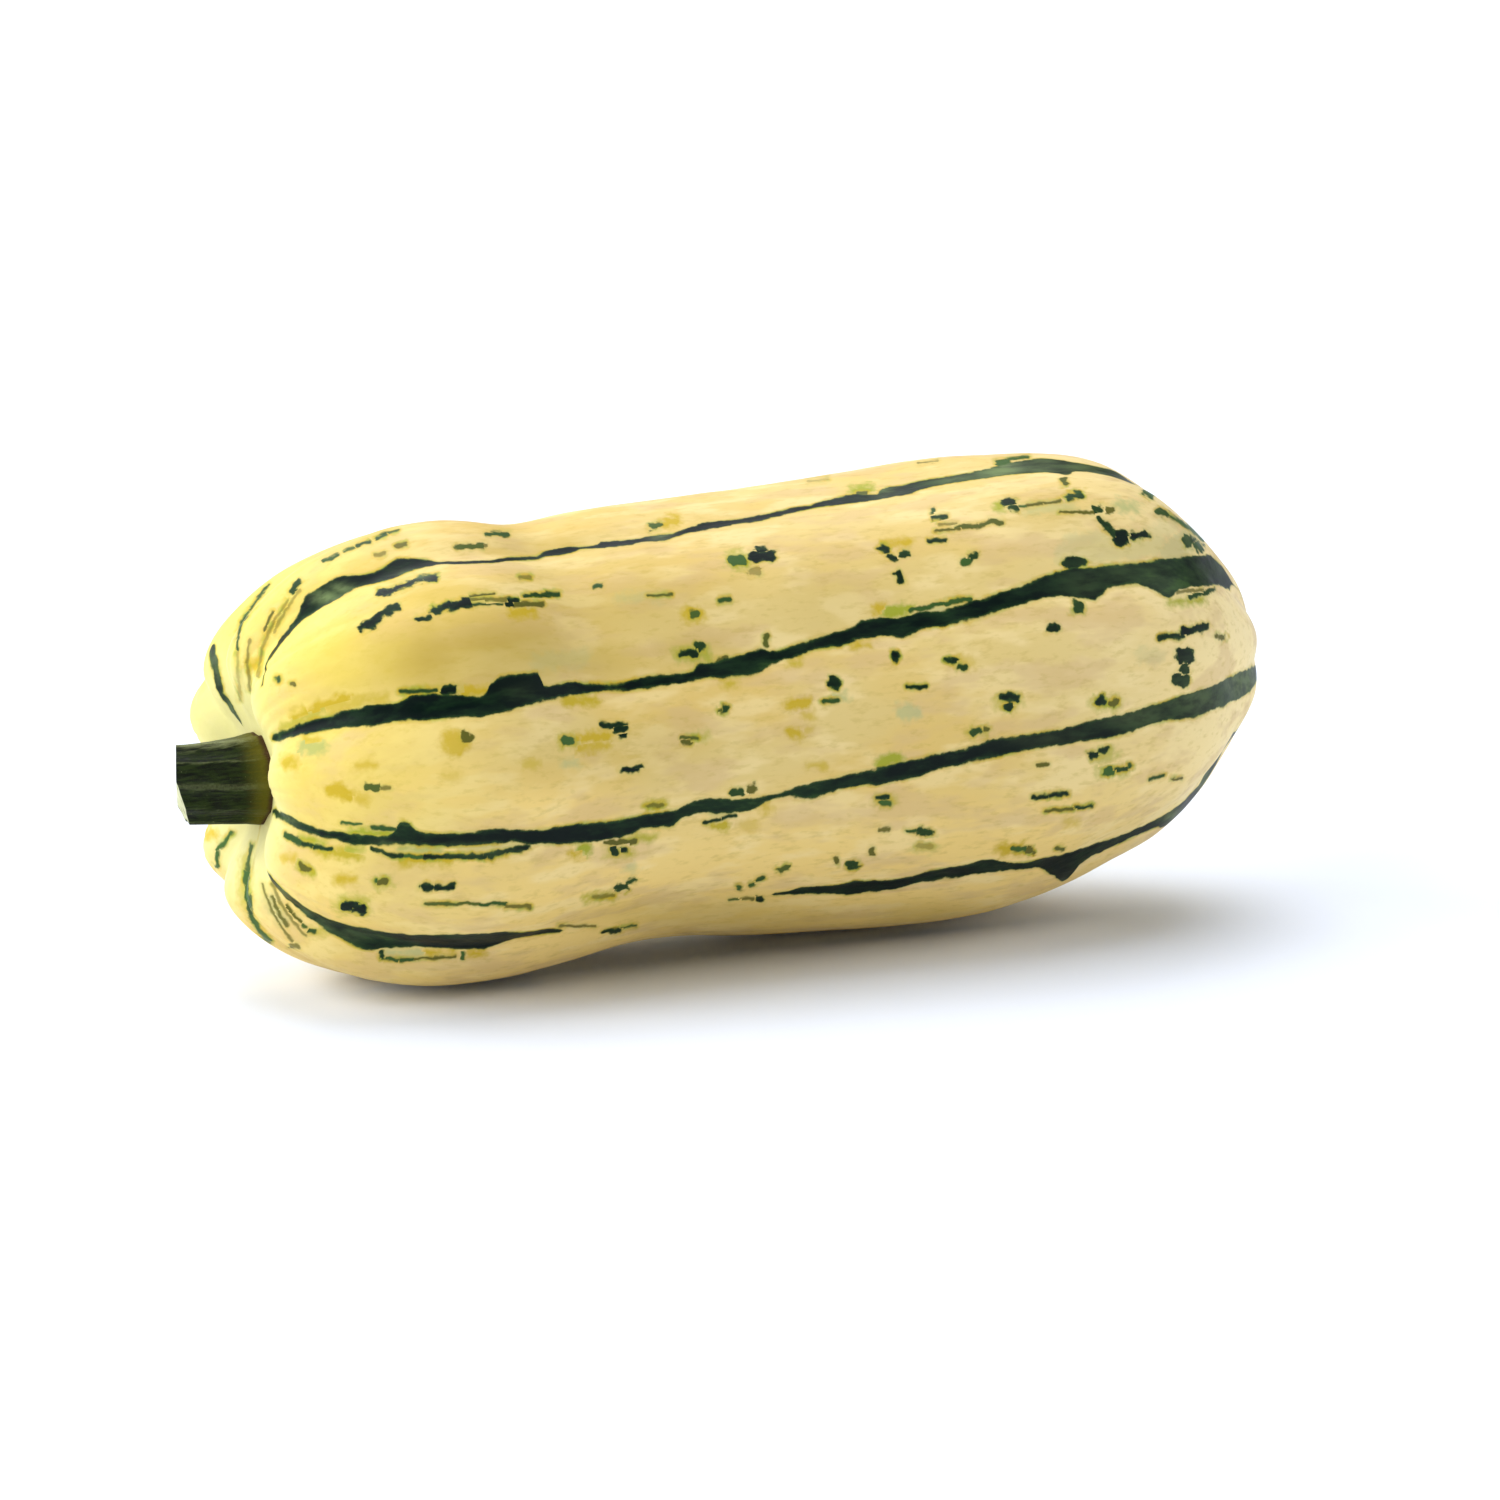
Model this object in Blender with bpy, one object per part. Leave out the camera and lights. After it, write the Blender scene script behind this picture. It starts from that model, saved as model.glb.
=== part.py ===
"""Delicata squash: one ribbed fruit lying on its side, and the stem left on its end.

Metres, +Z up. The fruit's long axis runs along X and the stem is at the -X end.
The origin is the middle of the bottom of the box round both pieces.
"""
import math

import bmesh
import bpy
import numpy as np

MM = 0.001

# The fruit's outline over its rib crests, from the stem pole to the blossom pole:
# place along the axis, radius, depth of the grooves there
CREST_OUTLINE_MM = (
    (-89.4, 0.0, 0.0),
    (-91.5, 8.8, 0.0),
    (-96.4, 21.4, 2.5),
    (-86.8, 32.9, 2.7),
    (-66.5, 40.9, 2.4),
    (-24.8, 40.2, 1.2),
    (10.5, 41.1, 1.0),
    (46.9, 42.3, 1.0),
    (74.9, 37.8, 1.0),
    (93.6, 20.3, 0.9),
    (99.2, 11.2, 0.6),
    (101.3, 0.0, 0.0),
)
SPAN_STEPS = 5
HALF_LENGTH = 95 * MM

# Grooves in sight: angle at mid-length and its change along the half length, to the first, second and third
# power. Angle 0 faces -Y and 90 is the top.
SEEN_GROOVES_DEG = (
    (73.4, 7.9, 6.0, -2.1),
    (29.4, 14.9, 7.6, -8.9),
    (-7.0, 11.5, 4.5, -7.0),
    (-40.7, 5.9, -5.8, -4.0),
)
RIB_COUNT = 10
RIB_STEPS = 10
RIB_STEP_CROWDING = 0.5
GROOVE_ROUNDING = 0.10
GROOVE_POWER = 1.7

# The waist runs aslant round the fruit, so its upper and lower sides have a dip each. The end dip
# flattens the underside before the blossom end.
TOP_DIP = {"x": -42.2 * MM, "depth": 2.1 * MM, "width": 9.7 * MM, "side": 1}
BOTTOM_DIP = {"x": -19.8 * MM, "depth": 1.6 * MM, "width": 18.7 * MM, "side": -1}
END_DIP = {"x": 72.0 * MM, "depth": 4.5 * MM, "width": 17.0 * MM, "side": -1}

# The centre line's bends
BOW_UP = 2.4 * MM
BOW_SIDE = 3.1 * MM
SWAY_SIDE = 4.0 * MM
TIP_LIFT = 6.7 * MM
AXIS_HEIGHT = 38.7 * MM

# The scar where the flower was
SCAR_RADIUS = 4.0 * MM
SCAR_DEPTH = 1.0 * MM

# The stem: place back from its seat along its axis, radius over its ridges
STEM_OUTLINE_MM = (
    (0.0, 8.3),
    (1.6, 8.25),
    (4.5, 7.8),
    (10.0, 7.25),
    (17.0, 6.85),
)
STEM_BASE = CREST_OUTLINE_MM[0][0] * MM
STEM_LENGTH = 16.6 * MM
STEM_STEPS = 10
STEM_RIDGES = 10
STEM_RIDGE_STEPS = 6
STEM_FLUTE_DEPTH = 0.9 * MM
STEM_FLUTE_POWER = 0.8
STEM_SMALL_RIDGE_LOSS = 0.35 * MM
STEM_TWIST_DEG = 9
STEM_DROP = 0.6 * MM
STEM_CUT_YAW_DEG = 19.8
STEM_CHIP_START = 1.0 * MM
STEM_CHIP_SLOPE = 0.55
STEM_CHIP_DIRECTION_DEG = -60
CAP_RINGS = 4
SEAT_RINGS = 3
SEAT_GAP = 0.3 * MM
SHARP_EDGE_DEG = 45

# From the axis frame above to the middle of the box
ORIGIN_X = 3.7 * MM
ORIGIN_Y = -2.41 * MM

FRUIT_COLOUR = (0.80, 0.62, 0.27)
FRUIT_ROUGHNESS = 0.42
STEM_COLOUR = (0.045, 0.085, 0.022)
STEM_ROUGHNESS = 0.72


def smooth_curve(points, steps):
    """A centripetal curve through the points, mirrored past both ends so that it meets the axis squarely."""
    mirror = (1, -1, 1)
    knots = np.vstack([points[1] * mirror, points, points[-2] * mirror])
    chord = np.linalg.norm(np.diff(knots[:, :2], axis=0), axis=1)
    t = np.concatenate([[0.0], np.cumsum(np.sqrt(chord))])
    rows = []
    for i in range(1, len(knots) - 2):
        t0, t1, t2, t3 = t[i - 1:i + 3]
        p0, p1, p2, p3 = knots[i - 1:i + 3]
        s = np.linspace(t1, t2, steps, endpoint=False)[:, None]
        a1 = (t1 - s) / (t1 - t0) * p0 + (s - t0) / (t1 - t0) * p1
        a2 = (t2 - s) / (t2 - t1) * p1 + (s - t1) / (t2 - t1) * p2
        a3 = (t3 - s) / (t3 - t2) * p2 + (s - t2) / (t3 - t2) * p3
        b1 = (t2 - s) / (t2 - t0) * a1 + (s - t0) / (t2 - t0) * a2
        b2 = (t3 - s) / (t3 - t1) * a2 + (s - t1) / (t3 - t1) * a3
        rows.append((t2 - s) / (t2 - t1) * b1 + (s - t1) / (t2 - t1) * b2)
    rows.append(points[-1:])
    return np.vstack(rows)


def fruit_outline():
    """Stations from pole to pole: place along the axis, radius and groove depth, in metres."""
    curve = smooth_curve(np.array(CREST_OUTLINE_MM) * MM, SPAN_STEPS)
    curve[:, 2] = np.maximum(curve[:, 2], 0.0)
    return curve


def groove_angles(x):
    """The angle of each groove at places x, in radians, falling round the fruit; one turn past the last."""
    along = x[:, None] / HALF_LENGTH
    table = np.radians(np.array(SEEN_GROOVES_DEG))
    seen = table[:, 0] + table[:, 1] * along + table[:, 2] * along**2 + table[:, 3] * along**3
    first_again = seen[:, :1] - 2 * math.pi
    gaps = RIB_COUNT - len(SEEN_GROOVES_DEG) + 1
    share = np.arange(1, gaps) / gaps
    hidden = seen[:, -1:] + (first_again - seen[:, -1:]) * share
    return np.hstack([seen, hidden, first_again])


def rib_angles(x):
    """Angles round the fruit at places x, and how far each lies from its groove: 0 in the groove, 1 on the crest."""
    grooves = groove_angles(x)
    even = np.arange(RIB_STEPS) / RIB_STEPS
    crowded = 0.5 - 0.5 * np.cos(math.pi * even)
    share = even + (crowded - even) * RIB_STEP_CROWDING
    start = grooves[:, :-1, None]
    width = np.diff(grooves, axis=1)[:, :, None]
    angles = (start + width * share).reshape(len(x), -1)
    height = np.tile(1 - np.abs(2 * share - 1), RIB_COUNT)
    return angles, height


def groove_shape(height):
    """1 in the bottom of a groove and 0 on the crest, as a rounded V."""
    rounded = np.sqrt(height**2 + GROOVE_ROUNDING**2) - GROOVE_ROUNDING
    full = math.sqrt(1 + GROOVE_ROUNDING**2) - GROOVE_ROUNDING
    return (1 - rounded / full) ** GROOVE_POWER


def lay_down(x, side, up):
    """Places points of the straight fruit, given from its axis, along the bent centre line above the floor."""
    along = x / HALF_LENGTH
    bow = 1 - along**2
    y = side + BOW_SIDE * bow + SWAY_SIDE * bow * along
    z = up + AXIS_HEIGHT + BOW_UP * bow + TIP_LIFT * np.maximum(along, 0) ** 2
    return np.stack([x + ORIGIN_X, y + ORIGIN_Y, np.maximum(z, 0.0)], axis=-1)


def fruit_surface():
    """The fruit's points as (stations, points round)."""
    curve = fruit_outline()
    x, radius, depth = curve[:, 0], curve[:, 1], curve[:, 2]
    angles, height = rib_angles(x)
    run, rise = np.gradient(x), np.gradient(radius)
    length = np.hypot(run, rise)
    cut = depth[:, None] * groove_shape(height)
    out_x = x[:, None] + cut * (rise / length)[:, None]
    out_r = radius[:, None] - cut * (run / length)[:, None]
    for dip in (TOP_DIP, BOTTOM_DIP, END_DIP):
        weight = (1 + dip["side"] * np.sin(angles)) / 2
        out_r = out_r - dip["depth"] * weight * np.exp(-(((out_x - dip["x"]) / dip["width"]) ** 2))
    scar = SCAR_DEPTH * np.exp(-((out_r / SCAR_RADIUS) ** 2))
    out_x = out_x - np.where(out_x > 0, scar, 0.0)
    return lay_down(out_x, -out_r * np.cos(angles), out_r * np.sin(angles))


def add_object(name, vertices, faces, material):
    """One closed mesh object with outward normals and smooth shading."""
    mesh = bpy.data.meshes.new(name)
    mesh.from_pydata([tuple(v) for v in vertices], [], faces)
    work = bmesh.new()
    work.from_mesh(mesh)
    bmesh.ops.recalc_face_normals(work, faces=work.faces)
    work.to_mesh(mesh)
    work.free()
    mesh.shade_smooth()
    mesh.set_sharp_from_angle(angle=math.radians(SHARP_EDGE_DEG))
    mesh.materials.append(material)
    piece = bpy.data.objects.new(name, mesh)
    bpy.context.scene.collection.objects.link(piece)


def plain_material(name, colour, roughness):
    """A non-metal surface of one colour."""
    material = bpy.data.materials.new(name)
    material.use_nodes = True
    surface = material.node_tree.nodes["Principled BSDF"]
    surface.inputs["Base Color"].default_value = (*colour, 1.0)
    surface.inputs["Roughness"].default_value = roughness
    surface.inputs["Metallic"].default_value = 0.0
    material.diffuse_color = (*colour, 1.0)
    return material


def closed_tube(rings, first, last):
    """Vertices and faces of a tube of rings, closed to a single point at each end."""
    count, around = rings.shape[:2]
    vertices = np.vstack([rings.reshape(-1, 3), first, last])
    start, end = len(vertices) - 2, len(vertices) - 1
    tail = (count - 1) * around
    faces = []
    for k in range(around):
        after = (k + 1) % around
        faces.append((start, after, k))
        faces.append((end, tail + k, tail + after))
        for i in range(count - 1):
            low, high = i * around, (i + 1) * around
            faces.append((low + k, low + after, high + after, high + k))
    return vertices, faces


def make_fruit():
    """The ribbed fruit, with small flats under its two lobes where it lies on the floor."""
    surface = fruit_surface()
    vertices, faces = closed_tube(surface[1:-1], surface[0, 0], surface[-1, 0])
    add_object("fruit", vertices, faces, plain_material("cream_rind", FRUIT_COLOUR, FRUIT_ROUGHNESS))


def stem_radius(back, angle):
    """The stem's radius at a place back from its seat, with ridges, every other one smaller."""
    places, radii = np.array(STEM_OUTLINE_MM).T * MM
    turn = angle * STEM_RIDGES / (2 * math.pi)
    nearest = np.round(turn)
    off = np.abs(turn - nearest) * 2
    flute = np.sin(0.5 * math.pi * off**STEM_FLUTE_POWER) ** 2
    small = np.where(np.mod(nearest, 2) == 1, STEM_SMALL_RIDGE_LOSS * (1 - flute), 0.0)
    return np.interp(back, places, radii) - STEM_FLUTE_DEPTH * flute - small


def stem_cut(side, up):
    """How far back from the seat the cut end lies: a slanting cut with a chip off its lower near edge."""
    plane = STEM_LENGTH - side * math.tan(math.radians(STEM_CUT_YAW_DEG))
    direction = math.radians(STEM_CHIP_DIRECTION_DEG)
    reach = up * math.sin(direction) - side * math.cos(direction)
    return plane - STEM_CHIP_SLOPE * np.maximum(reach - STEM_CHIP_START, 0.0)


def seat_place(radius):
    """The place along the axis of the stem's base at a radius, just clear of the fruit's hollow."""
    hollow = fruit_outline()[: 2 * SPAN_STEPS + 1]
    return np.interp(radius, hollow[:, 1], hollow[:, 0]) - SEAT_GAP


def stem_points(x, radius, angle):
    """Places stem points, given from its axis, along its slightly drooping line."""
    back = np.maximum(STEM_BASE - x, 0) / STEM_LENGTH
    side, up = -radius * np.cos(angle), radius * np.sin(angle)
    return lay_down(x, side, up - STEM_DROP * back**2)


def stem_ring(share_back, share_out):
    """One ring of the stem at a share of its length back from the seat and of its radius out from its axis."""
    steps = STEM_RIDGES * STEM_RIDGE_STEPS
    angle = np.arange(steps) * 2 * math.pi / steps
    turned = angle + math.radians(STEM_TWIST_DEG) * share_back
    radius = stem_radius(STEM_LENGTH * share_back, angle) * share_out
    seat = seat_place(stem_radius(0.0, angle) * share_out)
    cut = STEM_BASE - stem_cut(-radius * np.cos(turned), radius * np.sin(turned))
    return stem_points(seat + (cut - seat) * share_back, radius, turned)


def make_stem():
    """The ridged stem, set in the hollow at the fruit's end and cut aslant."""
    rings = [stem_ring(0.0, share) for share in np.arange(1, SEAT_RINGS) / SEAT_RINGS]
    rings += [stem_ring(share, 1.0) for share in np.arange(STEM_STEPS + 1) / STEM_STEPS]
    rings += [stem_ring(1.0, share) for share in 1 - np.arange(1, CAP_RINGS) / CAP_RINGS]
    first = stem_ring(0.0, 0.0)[0]
    last = stem_ring(1.0, 0.0)[0]
    vertices, faces = closed_tube(np.array(rings), first, last)
    add_object("stem", vertices, faces, plain_material("green_stem", STEM_COLOUR, STEM_ROUGHNESS))


def main():
    """Empties the scene and makes both pieces."""
    for item in list(bpy.data.objects):
        bpy.data.objects.remove(item, do_unlink=True)
    make_fruit()
    make_stem()


main()
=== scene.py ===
"""Delicata squash: the finished fruit and its stem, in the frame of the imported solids.

Metres, +Z up. The marks in sight on the rind are given by their place in the photograph, in pixels of
its 1500 by 1500 frame, and are laid on the surface through the camera. The rest come from seeded rules.
"""
import math
import random

import bpy
import numpy as np
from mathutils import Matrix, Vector, noise
from mathutils.bvhtree import BVHTree
from mathutils.interpolate import poly_3d_calc

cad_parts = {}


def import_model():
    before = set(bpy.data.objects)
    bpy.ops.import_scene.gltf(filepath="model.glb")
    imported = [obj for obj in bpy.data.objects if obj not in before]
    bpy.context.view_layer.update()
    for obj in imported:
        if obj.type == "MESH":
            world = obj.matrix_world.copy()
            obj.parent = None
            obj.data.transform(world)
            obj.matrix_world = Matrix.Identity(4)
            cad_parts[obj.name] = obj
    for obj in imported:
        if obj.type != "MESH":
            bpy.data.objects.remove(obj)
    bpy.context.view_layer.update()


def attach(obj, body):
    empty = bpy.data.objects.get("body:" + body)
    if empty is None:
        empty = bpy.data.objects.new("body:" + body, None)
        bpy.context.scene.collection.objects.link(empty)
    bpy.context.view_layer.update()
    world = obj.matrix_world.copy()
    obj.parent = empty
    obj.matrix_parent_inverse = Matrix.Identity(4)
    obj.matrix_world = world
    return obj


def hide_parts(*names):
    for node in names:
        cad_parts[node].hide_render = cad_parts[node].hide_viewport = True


MM = 0.001

# Camera: the place that it turns about, where that is in the picture, and the view's angles
IMAGE_SIZE = 1500
FOCAL_PX = 6949.9
SENSOR_WIDTH_MM = 36.0
CAMERA_YAW_DEG = 24.11
CAMERA_ELEVATION_DEG = 12.36
CAMERA_DISTANCE = 1.2433
CAMERA_NEAR = 0.05
CAMERA_FAR = 60.0
TARGET = Vector((0.0037, -0.00241, 0.0388))
TARGET_PX = (737.2, 731.6)
PX_PER_MM = FOCAL_PX / (CAMERA_DISTANCE * 1000)

# The fruit's outline over its rib crests, from the stem pole to the blossom pole:
# place along the axis, radius, depth of the grooves there
CREST_OUTLINE_MM = (
    (-89.4, 0.0, 0.0),
    (-91.5, 8.8, 0.0),
    (-96.4, 21.4, 2.5),
    (-86.8, 32.9, 2.7),
    (-66.5, 40.9, 2.4),
    (-24.8, 40.2, 1.2),
    (10.5, 41.1, 1.0),
    (46.9, 42.3, 1.0),
    (74.9, 37.8, 1.0),
    (93.6, 20.3, 0.9),
    (99.2, 11.2, 0.6),
    (101.3, 0.0, 0.0),
)
SPAN_STEPS = 60
HALF_LENGTH = 95 * MM

# Grooves in sight: angle at mid-length and its change along the half length, to the first, second and
# third power. Angle 0 faces -Y and 90 is the top.
SEEN_GROOVES_DEG = (
    (73.4, 7.9, 6.0, -2.1),
    (29.4, 14.9, 7.6, -8.9),
    (-7.0, 11.5, 4.5, -7.0),
    (-40.7, 5.9, -5.8, -4.0),
)
RIB_COUNT = 10
RIB_STEP_CROWDING = 0.3
GROOVE_ROUNDING = 0.10
GROOVE_POWER = 1.7
TOP_DIP = {"x": -42.2 * MM, "depth": 2.1 * MM, "width": 9.7 * MM, "side": 1}
BOTTOM_DIP = {"x": -19.8 * MM, "depth": 1.6 * MM, "width": 18.7 * MM, "side": -1}
END_DIP = {"x": 72.0 * MM, "depth": 4.5 * MM, "width": 17.0 * MM, "side": -1}
BOW_UP = 2.4 * MM
BOW_SIDE = 3.1 * MM
SWAY_SIDE = 4.0 * MM
TIP_LIFT = 6.7 * MM
AXIS_HEIGHT = 38.7 * MM
SCAR_RADIUS = 4.0 * MM
SCAR_DEPTH = 1.0 * MM
ORIGIN_X = 3.7 * MM
ORIGIN_Y = -2.41 * MM

# Fineness of the fruit: stations from pole to pole, and steps across a rib in sight and out of sight
STATIONS = 300
SEEN_RIBS = (9, 0, 1, 2, 3)
SEEN_RIB_STEPS = 40
HIDDEN_RIB_STEPS = 25

# Unevenness of the rind: height and size of the swells, and the radius over which they begin at a pole
SWELLS_MM = ((0.30, 22.0), (0.12, 7.0))
SWELL_CALM_RADIUS_MM = 14.0
SWELL_LIFT = 0.3
SWELL_SEED = 3.1
SWELL_SEED_STEP = 7.7
SWELL_SHIFT = (1.0, 0.37, 0.71)

# Fine furrows on the shoulders round the stem: share of the rib's width, depth, half width as a share
FURROWS = (
    (0.17, 0.28, 0.030),
    (0.33, 0.34, 0.026),
    (0.52, 0.30, 0.030),
    (0.68, 0.36, 0.026),
    (0.84, 0.26, 0.030),
)
FURROW_START_MM = 14.0
FURROW_FULL_MM = 24.0
FURROW_END_MM = 56.0
# How far a furrow bends, over what length, and how much its depth varies. The phases are by rib and place.
FURROW_BEND = 0.03
FURROW_BEND_MM = 11.0
FURROW_BEND_PHASES = (2.4, 9.0)
FURROW_MEAN_DEPTH = 0.55
FURROW_DEPTH_PHASES = (5.1, 23.0)


def smooth_curve(points, steps):
    """A centripetal curve through the points, mirrored past both ends so that it meets the axis square."""
    mirror = (1, -1, 1)
    knots = np.vstack([points[1] * mirror, points, points[-2] * mirror])
    chord = np.linalg.norm(np.diff(knots[:, :2], axis=0), axis=1)
    t = np.concatenate([[0.0], np.cumsum(np.sqrt(chord))])
    rows = []
    for i in range(1, len(knots) - 2):
        t0, t1, t2, t3 = t[i - 1:i + 3]
        p0, p1, p2, p3 = knots[i - 1:i + 3]
        s = np.linspace(t1, t2, steps, endpoint=False)[:, None]
        a1 = (t1 - s) / (t1 - t0) * p0 + (s - t0) / (t1 - t0) * p1
        a2 = (t2 - s) / (t2 - t1) * p1 + (s - t1) / (t2 - t1) * p2
        a3 = (t3 - s) / (t3 - t2) * p2 + (s - t2) / (t3 - t2) * p3
        b1 = (t2 - s) / (t2 - t0) * a1 + (s - t0) / (t2 - t0) * a2
        b2 = (t3 - s) / (t3 - t1) * a2 + (s - t1) / (t3 - t1) * a3
        rows.append((t2 - s) / (t2 - t1) * b1 + (s - t1) / (t2 - t1) * b2)
    rows.append(points[-1:])
    return np.vstack(rows)


def smooth_step(low, high, value):
    """0 below low, 1 above high, and a smooth rise between."""
    share = np.clip((value - low) / (high - low), 0.0, 1.0)
    return share * share * (3 - 2 * share)


def groove_angles(x):
    """The angle of each groove at places x, in radians, falling round the fruit; one turn past the last."""
    along = x[:, None] / HALF_LENGTH
    table = np.radians(np.array(SEEN_GROOVES_DEG))
    seen = table[:, 0] + table[:, 1] * along + table[:, 2] * along**2 + table[:, 3] * along**3
    first_again = seen[:, :1] - 2 * math.pi
    gaps = RIB_COUNT - len(SEEN_GROOVES_DEG) + 1
    share = np.arange(1, gaps) / gaps
    hidden = seen[:, -1:] + (first_again - seen[:, -1:]) * share
    return np.hstack([seen, hidden, first_again])


def groove_shape(height):
    """1 in the bottom of a groove and 0 on the crest, as a rounded V."""
    rounded = np.sqrt(height**2 + GROOVE_ROUNDING**2) - GROOVE_ROUNDING
    full = math.sqrt(1 + GROOVE_ROUNDING**2) - GROOVE_ROUNDING
    return (1 - rounded / full) ** GROOVE_POWER


def centre_line(x):
    """Where the fruit's bent centre line runs at places x along it: to the side, and above the floor."""
    along = x / HALF_LENGTH
    bow = 1 - along**2
    side = BOW_SIDE * bow + SWAY_SIDE * bow * along + ORIGIN_Y
    up = AXIS_HEIGHT + BOW_UP * bow + TIP_LIFT * np.maximum(along, 0.0) ** 2
    return side, up


def lay_down(x, side, up):
    """Sets points of the straight fruit, given from its axis, on the bent centre line above the floor."""
    line_side, line_up = centre_line(x)
    return np.stack([x + ORIGIN_X, side + line_side, np.maximum(up + line_up, 0.0)], axis=-1)


def swell(points, height_mm, size_mm, seed):
    """Smooth random heights at the points, in metres, from -height to height."""
    shift = Vector([seed * share for share in SWELL_SHIFT])
    scale = 1 / (size_mm * MM)
    values = [noise.noise(Vector(p) * scale + shift) for p in points]
    return np.array(values) * height_mm * MM


def tube_quads(rings, around):
    """The corners of the quads between rings of points, as (gaps between rings, around, 4)."""
    column = np.arange(around)
    after = (column + 1) % around
    row = np.arange(rings - 1)[:, None] * around
    return np.stack([row + column, row + after, row + around + after, row + around + column], axis=-1)


class Rind:
    """The fruit's fine surface: its stations, columns, vertices, faces and the places of its grooves."""

    def __init__(self):
        self.make_columns()
        self.make_stations()
        self.make_vertices()
        self.make_faces()

    def make_columns(self):
        """Each column's rib and its share of the rib's width, and the share of the next column."""
        ribs, shares = [], []
        for rib in range(RIB_COUNT):
            steps = SEEN_RIB_STEPS if rib in SEEN_RIBS else HIDDEN_RIB_STEPS
            even = np.arange(steps) / steps
            crowded = 0.5 - 0.5 * np.cos(math.pi * even)
            shares.append(even + (crowded - even) * RIB_STEP_CROWDING)
            ribs.append(np.full(steps, rib))
        self.rib = np.concatenate(ribs)
        self.share = np.concatenate(shares)
        following = np.roll(self.share, -1)
        self.next_share = np.where(following == 0.0, 1.0, following)
        middle = (self.share + self.next_share) / 2
        self.groove = np.where(middle < 0.5, self.rib, self.rib + 1)

    def make_stations(self):
        """Stations evenly spaced along the outline: place, radius, groove depth, distance from the stem."""
        curve = smooth_curve(np.array(CREST_OUTLINE_MM) * MM, SPAN_STEPS)
        steps = np.linalg.norm(np.diff(curve[:, :2], axis=0), axis=1)
        arc = np.concatenate([[0.0], np.cumsum(steps)])
        self.arc = np.linspace(0.0, arc[-1], STATIONS)
        self.x, self.radius, depth = (np.interp(self.arc, arc, curve[:, k]) for k in range(3))
        self.depth = np.maximum(depth, 0.0)
        self.grooves = groove_angles(self.x)
        span = self.grooves[:, self.rib + 1] - self.grooves[:, self.rib]
        self.angle = self.grooves[:, self.rib] + span * self.share

    def furrow_cut(self):
        """The depth of the fine furrows at each point."""
        arc = self.arc / MM
        rise = smooth_step(FURROW_START_MM, FURROW_FULL_MM, arc)
        fade = rise * (1 - smooth_step(FURROW_FULL_MM, FURROW_END_MM, arc))
        cut = np.zeros((STATIONS, len(self.share)))
        for place, depth, width in FURROWS:
            for rib in range(RIB_COUNT):
                by_rib, by_place = FURROW_BEND_PHASES
                bend = FURROW_BEND * np.sin(arc / FURROW_BEND_MM + rib * by_rib + place * by_place)
                by_rib, by_place = FURROW_DEPTH_PHASES
                swing = math.sin(rib * by_rib + place * by_place)
                part = FURROW_MEAN_DEPTH + (1 - FURROW_MEAN_DEPTH) * swing
                off = (self.share[None, :] - place - bend[:, None]) / width
                shape = np.exp(-(off**2)) * (self.rib == rib)
                cut += depth * MM * part * fade[:, None] * shape
        return cut

    def make_vertices(self):
        """Points as (stations, columns), then as one list: rings between the poles, and the poles last."""
        run, rise = np.gradient(self.x), np.gradient(self.radius)
        length = np.hypot(run, rise)
        height = 1 - np.abs(2 * self.share - 1)
        cut = self.depth[:, None] * groove_shape(height)[None, :] + self.furrow_cut()
        straight = np.stack(
            [np.broadcast_to(self.x[:, None], self.angle.shape),
             -self.radius[:, None] * np.cos(self.angle),
             self.radius[:, None] * np.sin(self.angle)], axis=-1)
        flat = straight.reshape(-1, 3)
        calm = smooth_step(0.0, SWELL_CALM_RADIUS_MM, self.radius / MM)[:, None]
        for number, (height_mm, size_mm) in enumerate(SWELLS_MM):
            seed = SWELL_SEED + number * SWELL_SEED_STEP
            bumps = swell(flat, height_mm, size_mm, seed).reshape(cut.shape)
            cut = cut + (bumps + SWELL_LIFT * height_mm * MM) * calm
        out_x = self.x[:, None] + cut * (rise / length)[:, None]
        out_r = self.radius[:, None] - cut * (run / length)[:, None]
        for dip in (TOP_DIP, BOTTOM_DIP, END_DIP):
            weight = (1 + dip["side"] * np.sin(self.angle)) / 2
            out_r = out_r - dip["depth"] * weight * np.exp(-(((out_x - dip["x"]) / dip["width"]) ** 2))
        scar = SCAR_DEPTH * np.exp(-((out_r / SCAR_RADIUS) ** 2))
        out_x = out_x - np.where(out_x > 0, scar, 0.0)
        grid = lay_down(out_x, -out_r * np.cos(self.angle), out_r * np.sin(self.angle))
        rings = grid[1:-1].reshape(-1, 3)
        self.vertices = np.vstack([rings, grid[0, :1], grid[-1, :1]])
        self.vertex_station = np.concatenate(
            [np.repeat(np.arange(1, STATIONS - 1), len(self.share)), [0, STATIONS - 1]])

    def make_faces(self):
        """Faces, with each corner's vertex, station and share of its rib's width."""
        around = len(self.share)
        rings = STATIONS - 2
        column = np.arange(around)
        after = (column + 1) % around
        quads = tube_quads(rings, around)
        station = np.arange(1, rings)[:, None] + np.zeros(around, int)
        quad_stations = np.stack([station, station, station + 1, station + 1], axis=-1)
        pair = np.stack([self.share, self.next_share, self.next_share, self.share], axis=-1)
        quad_shares = np.broadcast_to(pair, quads.shape)
        start, end = rings * around, rings * around + 1
        tail = (rings - 1) * around
        first = np.stack([np.full(around, start), after, column], axis=-1)
        last = np.stack([np.full(around, end), tail + column, tail + after], axis=-1)
        first_share = np.stack([self.share, self.next_share, self.share], axis=-1)
        last_share = np.stack([self.share, self.share, self.next_share], axis=-1)
        first_station = np.tile((0, 1, 1), (around, 1))
        last_station = np.tile((STATIONS - 1, rings, rings), (around, 1))
        self.faces = quads.reshape(-1, 4).tolist() + first.tolist() + last.tolist()

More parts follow.
